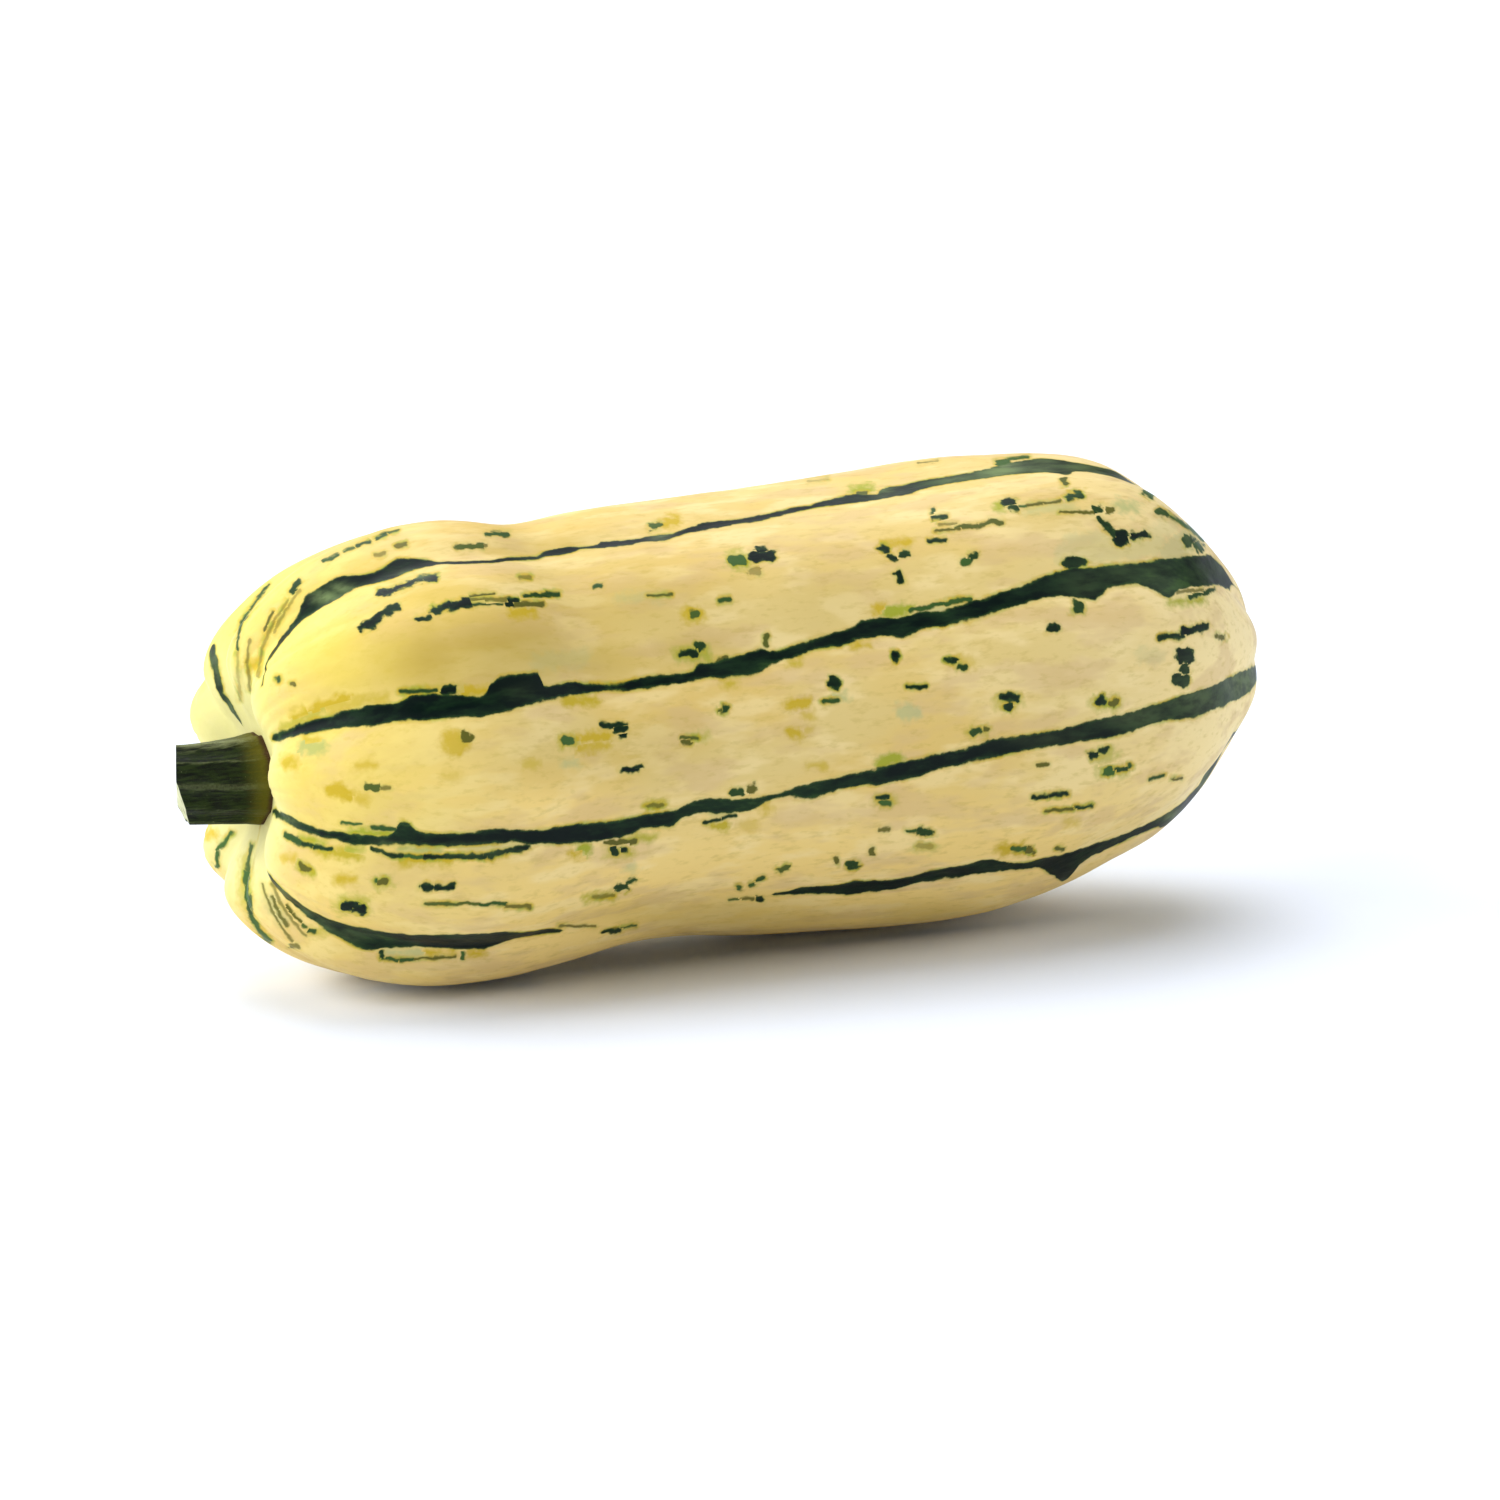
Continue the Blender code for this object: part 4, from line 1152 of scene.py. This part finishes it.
def rind_material():
    """Waxy cream rind with green stripes along the grooves, flecks, yellow patches and a corky scar."""
    nodes = Nodes("cream_rind")
    place = nodes.place_mm()
    long_place = nodes.place_mm((0.35, 1.0, 1.0))
    longer_place = nodes.place_mm((0.18, 1.0, 1.0))
    from_stem = nodes.value("from_stem")
    from_tip = nodes.value("from_tip")
    up = nodes.split(place)[2]

    # Ground colour: cream with broad, middling and fine mottling, paler at the blossom end, blushed and
    # tanned in places, and yellow on the shoulders round the stem. A lighter cream on the underside and on
    # parts of the lower ribs is painted light; part of the tan, in the waist and along the lower edge, is
    # painted shade
    broad = nodes.noise(long_place, 13.0, detail=3.0)
    middling = nodes.noise(long_place, 4.5, detail=3.0, shift=40.0)
    fine = nodes.noise(long_place, 1.1, detail=3.0, roughness=0.6, shift=80.0)
    blush = nodes.noise(long_place, 6.0, detail=3.0, roughness=0.55, shift=460.0)
    height = nodes.plus(up, nodes.times(broad, 16.0))
    # Painted light: the underside is given a lighter cream
    painted_underside_light = nodes.times(nodes.ramp(height, 50.0, 26.0), nodes.ramp(from_stem, 45.0, 80.0, 0.2, 0.9))
    painted_underside_light = nodes.times(painted_underside_light, nodes.ramp(from_tip, 30.0, 80.0))
    shoulder = nodes.times(nodes.ramp(from_stem, 78.0, 34.0), nodes.ramp(up, 15.0, 45.0, 0.4, 1.0))
    yellowness = nodes.times(shoulder, nodes.ramp(middling, 0.25, 0.65, 0.2, 0.7))
    seen_yellow = nodes.times(nodes.value("yellow_tint"), 0.85)
    ground = nodes.layers(
        CREAM,
        (nodes.ramp(broad, 0.38, 0.66), WARM),
        (nodes.ramp(from_tip, 90.0, 30.0), PALE_CREAM),
        (nodes.math("MAXIMUM", painted_underside_light, nodes.value("painted_light_tint")), LIT_LOW_CREAM),
        (nodes.ramp(middling, 0.46, 0.62, 0.0, 0.5), PALE_CREAM),
        (nodes.ramp(blush, 0.47, 0.62, 0.0, 0.55), PINK_TAN),
        (nodes.times(nodes.ramp(fine, 0.50, 0.72), 0.28), TAN),
        (nodes.math("MAXIMUM", yellowness, seen_yellow), YELLOW),
        # Part of this tan is painted shade in the waist and along the lower edge
        (nodes.times(nodes.value("tan_and_painted_shade_tint"), nodes.ramp(broad, 0.2, 0.6, 0.55, 0.95)), TAN),
        (nodes.times(nodes.ramp(from_stem, 30.0, 16.0), 0.7), STEM_END_CREAM),
    )

    # Soft patches
    ragged = nodes.minus(nodes.noise(place, 1.6, detail=3.0, shift=20.0), 0.5)
    coarse = nodes.minus(nodes.noise(long_place, 2.6, detail=1.0, shift=60.0), 0.5)
    wide_wobble = nodes.wobble(place, 1.9, 0.42, 240.0)
    fine_wobble = nodes.wobble(place, 0.8, 0.13, 260.0)
    wobble = [nodes.plus(a, b) for a, b in zip(wide_wobble, fine_wobble)]
    soft, hue, strength, _ = mark_distance(nodes, "soft", PATCH_ROUNDNESS, wobble)
    soft = nodes.plus(soft, nodes.times(ragged, 2.2))
    soft_share = nodes.times(nodes.ramp(soft, 1.2, -0.8), nodes.times(strength, 1.25), clamp=True)
    patch = nodes.layers(
        GOLDEN,
        (nodes.ramp(hue, 0.1, 0.5), YELLOW_GREEN),
        (nodes.ramp(hue, 0.6, 0.9), GREY_GREEN),
    )
    ground = nodes.mix(nodes.times(soft_share, nodes.ramp(hue, 0.6, 0.95, 0.9, 0.6)), ground, patch)

    # Places in the stripes and the flecks, as distances outside their edges
    across, middle, half = nodes.triple("stripe")
    stripe = nodes.minus(nodes.math("ABSOLUTE", nodes.minus(across, middle)), half)
    jitter = nodes.plus(nodes.times(coarse, 1.2), nodes.times(ragged, 1.15))
    jitter = nodes.times(jitter, nodes.ramp(half, 0.1, 1.1, 0.35, 1.0))
    stripe = nodes.plus(stripe, jitter)
    stripe = nodes.plus(stripe, nodes.times(nodes.value("no_stripe"), NO_STRIPE_MM))
    fleck, tone, _, stray = mark_distance(nodes, "fleck", FLECK_ROUNDNESS, wobble)
    fleck = nodes.math("MULTIPLY_ADD", nodes.times(ragged, stray), 0.65, fleck)

    # A yellowish halo here and there round the greens
    green = nodes.math("MINIMUM", stripe, fleck)
    halo_noise = nodes.noise(long_place, 6.0, detail=2.0, shift=120.0)
    halo_share = nodes.times(nodes.ramp(green, 0.85, 0.0), nodes.ramp(halo_noise, 0.42, 0.66, 0.18, 0.85))
    halo = nodes.mix(nodes.ramp(ragged, -0.1, 0.15), GOLDEN, YELLOW_GREEN)
    ground = nodes.mix(halo_share, ground, halo)

    # Greens: deep in the stripes, lighter at their rims, pale grey-green at places, partly the rind's own
    # lighter green and partly painted sheen, and olive in the fainter flecks
    depth_noise = nodes.noise(long_place, 2.2, detail=3.0, roughness=0.6, shift=160.0)
    block_noise = nodes.noise(longer_place, 9.0, detail=1.0, shift=200.0)
    lightness = nodes.plus(nodes.times(depth_noise, 0.5), nodes.times(block_noise, 0.5))
    # Pale grey-green at places on the stripes: partly lighter green, partly painted sheen
    pale_green_and_sheen_tint = nodes.times(nodes.value("pale_green_and_sheen_tint"), nodes.ramp(depth_noise, 0.3, 0.62, 0.4, 1.0))
    deep = nodes.layers(
        DEEP_GREEN,
        (nodes.ramp(lightness, 0.44, 0.62), MID_GREEN),
        (nodes.ramp(lightness, 0.60, 0.74, 0.0, 0.6), LIGHT_GREEN),
        (pale_green_and_sheen_tint, SHEEN_PALE_GREEN),
    )
    stripe_colour = nodes.mix(nodes.ramp(stripe, -0.6, 0.15, 0.0, 0.6), deep, LIGHT_GREEN)
    fleck_colour = nodes.layers(
        deep,
        (nodes.ramp(tone, 0.1, 0.6), LIGHT_GREEN),
        (nodes.ramp(fleck, -0.5, 0.15, 0.0, 0.7), LIGHT_GREEN),
        (nodes.ramp(tone, 0.6, 0.9), OLIVE),
    )
    fleck_share = nodes.times(nodes.ramp(fleck, 0.2, -0.2), nodes.ramp(tone, 1.0, 2.0, 1.0, 0.15))
    stripe_share = nodes.ramp(stripe, 0.2, -0.2)
    edge = nodes.math("MAXIMUM", fleck_share, stripe_share)

    # Corky scar where the flower was, over all the rest
    scar_edge = nodes.plus(from_tip, nodes.times(ragged, 2.6))
    scar = nodes.ramp(scar_edge, 4.6, 3.6)
    cracks = nodes.noise(place, 0.7, detail=4.0, roughness=0.7, shift=300.0)
    cork = nodes.mix(nodes.ramp(cracks, 0.42, 0.60), CORK_DARK, CORK)
    cork_rim = nodes.ramp(nodes.math("ABSOLUTE", nodes.minus(scar_edge, 4.4)), 0.9, 0.2)
    colour = nodes.layers(
        ground,
        (fleck_share, fleck_colour),
        (stripe_share, stripe_colour),
        (scar, cork),
        (nodes.times(cork_rim, 0.5), CORK_DARK),
    )

    # Sheen and relief: the wax is uneven, the green lies a little proud, and fine pores cover the rind
    waxiness = nodes.noise(place, 8.0, detail=4.0, shift=340.0)
    rough = nodes.ramp(waxiness, 0.3, 0.7, 0.38, 0.52)
    rough = nodes.minus(rough, nodes.times(edge, 0.04))
    rough = nodes.plus(rough, nodes.times(scar, 0.35))
    pores = nodes.noise(place, 0.55, detail=2.0, shift=380.0)
    ripple = nodes.noise(long_place, 2.4, detail=2.0, shift=420.0)
    bumps = (
        (pores, 0.05, 0.5),
        (ripple, 0.22, 0.6),
        (edge, 0.06, 0.6),
        (nodes.times(cracks, scar), 0.6, 0.8),
    )
    return nodes.finish(colour, rough, RIND_SHINE, bumps)


def make_fruit_piece(rind, picture):
    """The finished fruit, with the attributes that its material reads."""
    piece = new_object("squash_fruit", rind.vertices, rind.faces, rind_material())
    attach(piece, "root")
    mesh = piece.data
    middles, halves = stripe_tables(picture)
    groove = rind.groove[rind.corner_column] % RIB_COUNT
    stripe = np.stack([rind.corner_across(), middles[groove, rind.corner_station],
                       halves[groove, rind.corner_station]], axis=-1)
    add_values(mesh, "stripe", "FLOAT_VECTOR", "CORNER", stripe)
    for name, layer in (("fleck", dark_marks(picture)), ("soft", soft_marks(picture))):
        add_values(mesh, name + "_place", "FLOAT_VECTOR", "CORNER", layer.place)
        add_values(mesh, name + "_size", "FLOAT_VECTOR", "CORNER", layer.size)
    arc = rind.arc[rind.vertex_station] / MM
    add_values(mesh, "from_stem", "FLOAT", "POINT", arc)
    add_values(mesh, "from_tip", "FLOAT", "POINT", rind.arc[-1] / MM - arc)
    for name, blobs in TINTS_PX.items():
        add_values(mesh, name, "FLOAT", "POINT", picture_tint(picture, blobs))
    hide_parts("fruit")


# The stem: place back from its seat along its axis, radius over its ridges
STEM_OUTLINE_MM = (
    (0.0, 8.3),
    (1.6, 8.25),
    (4.5, 7.85),
    (10.0, 7.5),
    (17.0, 7.3),
)
STEM_BASE = CREST_OUTLINE_MM[0][0] * MM
STEM_LENGTH = 16.6 * MM
STEM_STEPS = 84
STEM_AROUND = 300
STEM_ANGLES = np.arange(STEM_AROUND) * 2 * math.pi / STEM_AROUND
STEM_RIDGES = 10
STEM_FLUTE_DEPTH = 0.9 * MM
STEM_FLUTE_POWER = 0.8
STEM_SMALL_RIDGE_LOSS = 0.35 * MM
STEM_TWIST_DEG = 9
STEM_DROP = -0.8 * MM
STEM_CUT_YAW_DEG = 19.8
STEM_CHIP_START = 1.6 * MM
STEM_CHIP_SLOPE = 0.40
STEM_CHIP_DIRECTION_DEG = -60
STEM_SINK = 0.5 * MM
STEM_SMALL_RIDGE_HEIGHT = 0.75
HOLLOW_RADIUS = 20 * MM
CAP_RINGS = 26
SEAT_RINGS = 4
SHARP_EDGE_DEG = 50

STEM_BLACK = (0.003, 0.006, 0.002)
STEM_GREEN = (0.020, 0.034, 0.006)
STEM_PALE = (0.230, 0.250, 0.120)
STEM_FOOT = (0.130, 0.115, 0.006)
STEM_RING = (0.060, 0.026, 0.013)
CUT_PALE = (0.50, 0.50, 0.28)
CUT_PITH = (0.62, 0.58, 0.38)
CUT_BUNDLE = (0.16, 0.17, 0.06)
STEM_SHINE = 0.14


def stem_ridge():
    """How far each angle is from its nearest ridge, 0 on it and 1 in the flute, and if that is small."""
    turn = STEM_ANGLES * STEM_RIDGES / (2 * math.pi)
    nearest = np.round(turn)
    return np.abs(turn - nearest) * 2, np.mod(nearest, 2) == 1


def stem_radius(back):
    """The stem's radius at a place back from its seat, with ridges, every other one smaller."""
    places, radii = np.array(STEM_OUTLINE_MM).T * MM
    off, small = stem_ridge()
    flute = np.sin(0.5 * math.pi * off**STEM_FLUTE_POWER) ** 2
    loss = np.where(small, STEM_SMALL_RIDGE_LOSS * (1 - flute), 0.0)
    return np.interp(back, places, radii) - STEM_FLUTE_DEPTH * flute - loss


def stem_cut(side, up):
    """How far back from the seat the cut end lies: a slanting cut with a chip off its lower near edge."""
    plane = STEM_LENGTH - side * math.tan(math.radians(STEM_CUT_YAW_DEG))
    direction = math.radians(STEM_CHIP_DIRECTION_DEG)
    reach = up * math.sin(direction) - side * math.cos(direction)
    return plane - STEM_CHIP_SLOPE * np.maximum(reach - STEM_CHIP_START, 0.0)


def stem_ring(rind, share_back, share_out):
    """One ring of the stem at a share of its length back from the seat and of its radius from its axis."""
    turned = STEM_ANGLES + math.radians(STEM_TWIST_DEG) * share_back
    radius = stem_radius(STEM_LENGTH * share_back) * share_out
    side, up = -radius * np.cos(turned), radius * np.sin(turned)
    hollow = (rind.radius < HOLLOW_RADIUS) & (rind.x < 0)
    seat = np.interp(stem_radius(0.0) * share_out, rind.radius[hollow], rind.x[hollow]) + STEM_SINK
    cut = STEM_BASE - stem_cut(side, up)
    x = seat + (cut - seat) * share_back
    back = np.maximum(STEM_BASE - x, 0) / STEM_LENGTH
    return lay_down(x, side, up - STEM_DROP * back**2)


def make_stem_piece(rind):
    """The ridged stem with fine fibres, set in the hollow at the fruit's end and cut aslant."""
    seat_outs = np.arange(1, SEAT_RINGS) / SEAT_RINGS
    side_backs = np.arange(STEM_STEPS + 1) / STEM_STEPS
    cap_outs = 1 - np.arange(1, CAP_RINGS) / CAP_RINGS
    backs = np.concatenate([np.zeros(len(seat_outs)), side_backs, np.ones(len(cap_outs))])
    outs = np.concatenate([seat_outs, np.ones(len(side_backs)), cap_outs])
    count = len(backs)
    rings = np.array([stem_ring(rind, back, out) for back, out in zip(backs, outs)])
    ends = stem_ring(rind, 0.0, 0.0)[0], stem_ring(rind, 1.0, 0.0)[0]
    vertices = np.vstack([rings.reshape(-1, 3), ends])
    start, end = len(vertices) - 2, len(vertices) - 1
    column = np.arange(STEM_AROUND)
    after = (column + 1) % STEM_AROUND
    tail = (count - 1) * STEM_AROUND
    faces = tube_quads(count, STEM_AROUND)[..., [0, 3, 2, 1]].reshape(-1, 4).tolist()
    faces += [(start, int(a), int(b)) for a, b in zip(column, after)]
    faces += [(end, int(tail + b), int(tail + a)) for a, b in zip(column, after)]
    piece = new_object("squash_stem", vertices, faces, stem_material())
    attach(piece, "root")
    piece.data.set_sharp_from_angle(angle=math.radians(SHARP_EDGE_DEG))

    # Values that the material reads: along each ring, or all the way round it, and at the two ends
    off, small = stem_ridge()
    is_cap = np.arange(count) >= SEAT_RINGS + STEM_STEPS
    for name, values, ends_at in (
            ("ridge", (np.where(small, STEM_SMALL_RIDGE_HEIGHT, 1.0) * (1 - off))[None, :], (0.0, 0.0)),
            ("back_mm", backs[:, None] * STEM_LENGTH / MM, (0.0, STEM_LENGTH / MM)),
            ("out_share", outs[:, None], (0.0, 0.0)),
            ("cut_face", is_cap[:, None], (0.0, 1.0)),
            ("up_share", np.sin(STEM_ANGLES)[None, :], (0.0, 0.0))):
        everywhere = np.broadcast_to(values, (count, STEM_AROUND))
        add_values(piece.data, name, "FLOAT", "POINT", np.concatenate([everywhere.ravel(), ends_at]))
    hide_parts("stem")


def stem_material():
    """Dull fibrous green with paler ridges, a yellowish foot, a brown ring at the seat, a pale cut end."""
    nodes = Nodes("green_stem")
    place = nodes.place_mm()
    fibre_place = nodes.place_mm((0.12, 1.0, 1.0))
    ridge, back, out_share, cut_face, up_share = (
        nodes.value(name) for name in ("ridge", "back_mm", "out_share", "cut_face", "up_share"))
    fibres = nodes.noise(fibre_place, 0.55, detail=3.0, roughness=0.6)
    patches = nodes.noise(place, 2.0, detail=3.0, shift=30.0)
    grain = nodes.noise(place, 0.45, detail=3.0, roughness=0.7, shift=60.0)
    cut_noise = nodes.noise(place, 0.8, detail=4.0, roughness=0.65, shift=90.0)

    # The side: dark, with pale lines on its ridges that are made paler on the upper ridges as painted
    # highlight, a painted highlight along the top, a yellowish foot and a brown ring
    line = nodes.plus(ridge, nodes.times(nodes.minus(fibres, 0.5), 0.5))
    line_share = nodes.times(nodes.ramp(line, 0.62, 0.95), nodes.ramp(grain, 0.3, 0.6, 0.4, 1.0))
    line_share = nodes.times(line_share, nodes.ramp(up_share, -0.2, 0.95, 0.2, 0.9))
    # Painted highlight along the top of the stem
    painted_top_highlight = nodes.plus(up_share, nodes.times(fibres, 0.3))
    foot = nodes.ramp(nodes.plus(back, nodes.times(fibres, 4.0)), 8.0, 3.2)
    ring = nodes.ramp(nodes.plus(back, nodes.times(patches, 1.2)), 2.3, 1.3)
    side = nodes.layers(
        STEM_BLACK,
        (nodes.ramp(fibres, 0.38, 0.66), STEM_GREEN),
        (nodes.times(nodes.ramp(patches, 0.45, 0.7), 0.5), STEM_GREEN),
        (line_share, STEM_PALE),
        (nodes.ramp(painted_top_highlight, 1.0, 1.15, 0.0, 0.6), STEM_PALE),
        (nodes.ramp(grain, 0.66, 0.74, 0.0, 0.55), STEM_PALE),
        (nodes.times(foot, 0.75), STEM_FOOT),
        (nodes.times(ring, 0.9), STEM_RING),
    )

    # The cut end: pale, with a ring of darker bundles, a dark rim and a small hollow in the middle
    bundle = nodes.ramp(nodes.math("ABSOLUTE", nodes.minus(out_share, 0.68)), 0.12, 0.02)
    bundle = nodes.times(bundle, nodes.ramp(ridge, 0.35, 0.75))
    cut = nodes.layers(
        CUT_PALE,
        (nodes.ramp(out_share, 0.45, 0.25), CUT_PITH),
        (nodes.times(bundle, 0.7), CUT_BUNDLE),
        (nodes.ramp(cut_noise, 0.5, 0.75, 0.0, 0.45), CUT_BUNDLE),
        (nodes.ramp(out_share, 0.90, 0.99), STEM_GREEN),
        (nodes.ramp(out_share, 0.10, 0.04), STEM_BLACK),
    )
    colour = nodes.mix(nodes.ramp(cut_face, 0.4, 0.6), side, cut)
    rough = nodes.ramp(patches, 0.3, 0.7, 0.55, 0.8)
    bumps = (
        (fibres, 0.35, 0.8),
        (grain, 0.18, 0.7),
        (cut_noise, 0.25, 0.5),
    )
    return nodes.finish(colour, rough, STEM_SHINE, bumps)


# Light: each sun's strength, its colour, and where it stands as seen by the camera: degrees to the right
# of it and degrees above the horizon
SUNS = (
    ("sun_left_front", 2.00, (0.97, 1.0, 1.08), -56.0, 29.0),
    ("sun_left", 1.75, (0.98, 1.0, 1.05), -91.0, 28.0),
    ("sun_left_back", 0.95, (0.95, 1.0, 1.12), -128.0, 29.0),
    ("sun_back", 1.15, (0.98, 1.0, 1.05), -168.0, 50.0),
    ("sun_right", 0.95, (0.94, 1.0, 1.14), 90.0, 28.0),
    ("sun_top", 1.25, (0.96, 1.0, 1.08), 180.0, 84.0),
    ("sun_low_front", 0.16, (1.0, 1.0, 1.0), 20.0, 8.0),
)
SUN_SPREAD_DEG = 45.0
WORLD_STRENGTH = 0.01

# The floor's rings: radius and height in metres, with a low sweep at its far edge
FLOOR_RINGS = ((6.0, 0.0), (7.0, 0.10), (7.8, 0.30), (8.5, 0.60), (9.0, 0.90))
FLOOR_AROUND = 64
FLOOR_COLOUR = (0.84, 0.87, 0.915, 1.0)
FLOOR_ROUGHNESS = 0.9
FLOOR_SHINE = 0.1


def make_floor():
    """A plain white floor that fills the view, with a low sweep far away."""
    turns = np.arange(FLOOR_AROUND) * 2 * math.pi / FLOOR_AROUND
    circle = np.stack([np.cos(turns), np.sin(turns), np.zeros(FLOOR_AROUND)], axis=-1)
    rings = [circle * radius + (0.0, 0.0, height) for radius, height in FLOOR_RINGS]
    vertices = np.vstack([*rings, (0.0, 0.0, 0.0)])
    faces = tube_quads(len(rings), FLOOR_AROUND)[..., [0, 3, 2, 1]].reshape(-1, 4).tolist()
    faces += [(len(vertices) - 1, step, (step + 1) % FLOOR_AROUND) for step in range(FLOOR_AROUND)]
    material = bpy.data.materials.new("floor_white")
    material.use_nodes = True
    surface = material.node_tree.nodes["Principled BSDF"]
    surface.inputs["Base Color"].default_value = FLOOR_COLOUR
    surface.inputs["Roughness"].default_value = FLOOR_ROUGHNESS
    surface.inputs["Specular IOR Level"].default_value = FLOOR_SHINE
    floor = new_object("floor", vertices, faces, material)


def make_lights():
    """Broad soft suns from all round, the strongest from the left, and a faint even surround."""
    yaw = math.radians(CAMERA_YAW_DEG)
    camera_side = Vector((-math.sin(yaw), -math.cos(yaw), 0.0))
    right = Vector((math.cos(yaw), -math.sin(yaw), 0.0))
    for name, strength, colour, right_of_camera, height in SUNS:
        data = bpy.data.lights.new(name, "SUN")
        data.energy = strength
        data.color = colour
        data.angle = math.radians(SUN_SPREAD_DEG)
        sun = bpy.data.objects.new(name, data)
        turn, rise = math.radians(right_of_camera), math.radians(height)
        towards = (camera_side * math.cos(turn) + right * math.sin(turn)) * math.cos(rise)
        towards = towards + Vector((0.0, 0.0, math.sin(rise)))
        sun.rotation_mode = "QUATERNION"
        sun.rotation_quaternion = towards.to_track_quat("Z", "Y")
        bpy.context.scene.collection.objects.link(sun)
    world = bpy.data.worlds.new("surround")
    bpy.context.scene.world = world
    world.use_nodes = True
    background = world.node_tree.nodes["Background"]
    background.inputs["Color"].default_value = (1.0, 1.0, 1.0, 1.0)
    background.inputs["Strength"].default_value = WORLD_STRENGTH
    bpy.context.scene.view_settings.view_transform = "Standard"


def main():
    """Loads the frame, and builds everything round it."""
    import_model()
    location, turn = make_camera()
    rind = Rind()
    picture = Picture(location, turn, rind)
    make_fruit_piece(rind, picture)
    make_stem_piece(rind)
    make_floor()
    make_lights()


main()
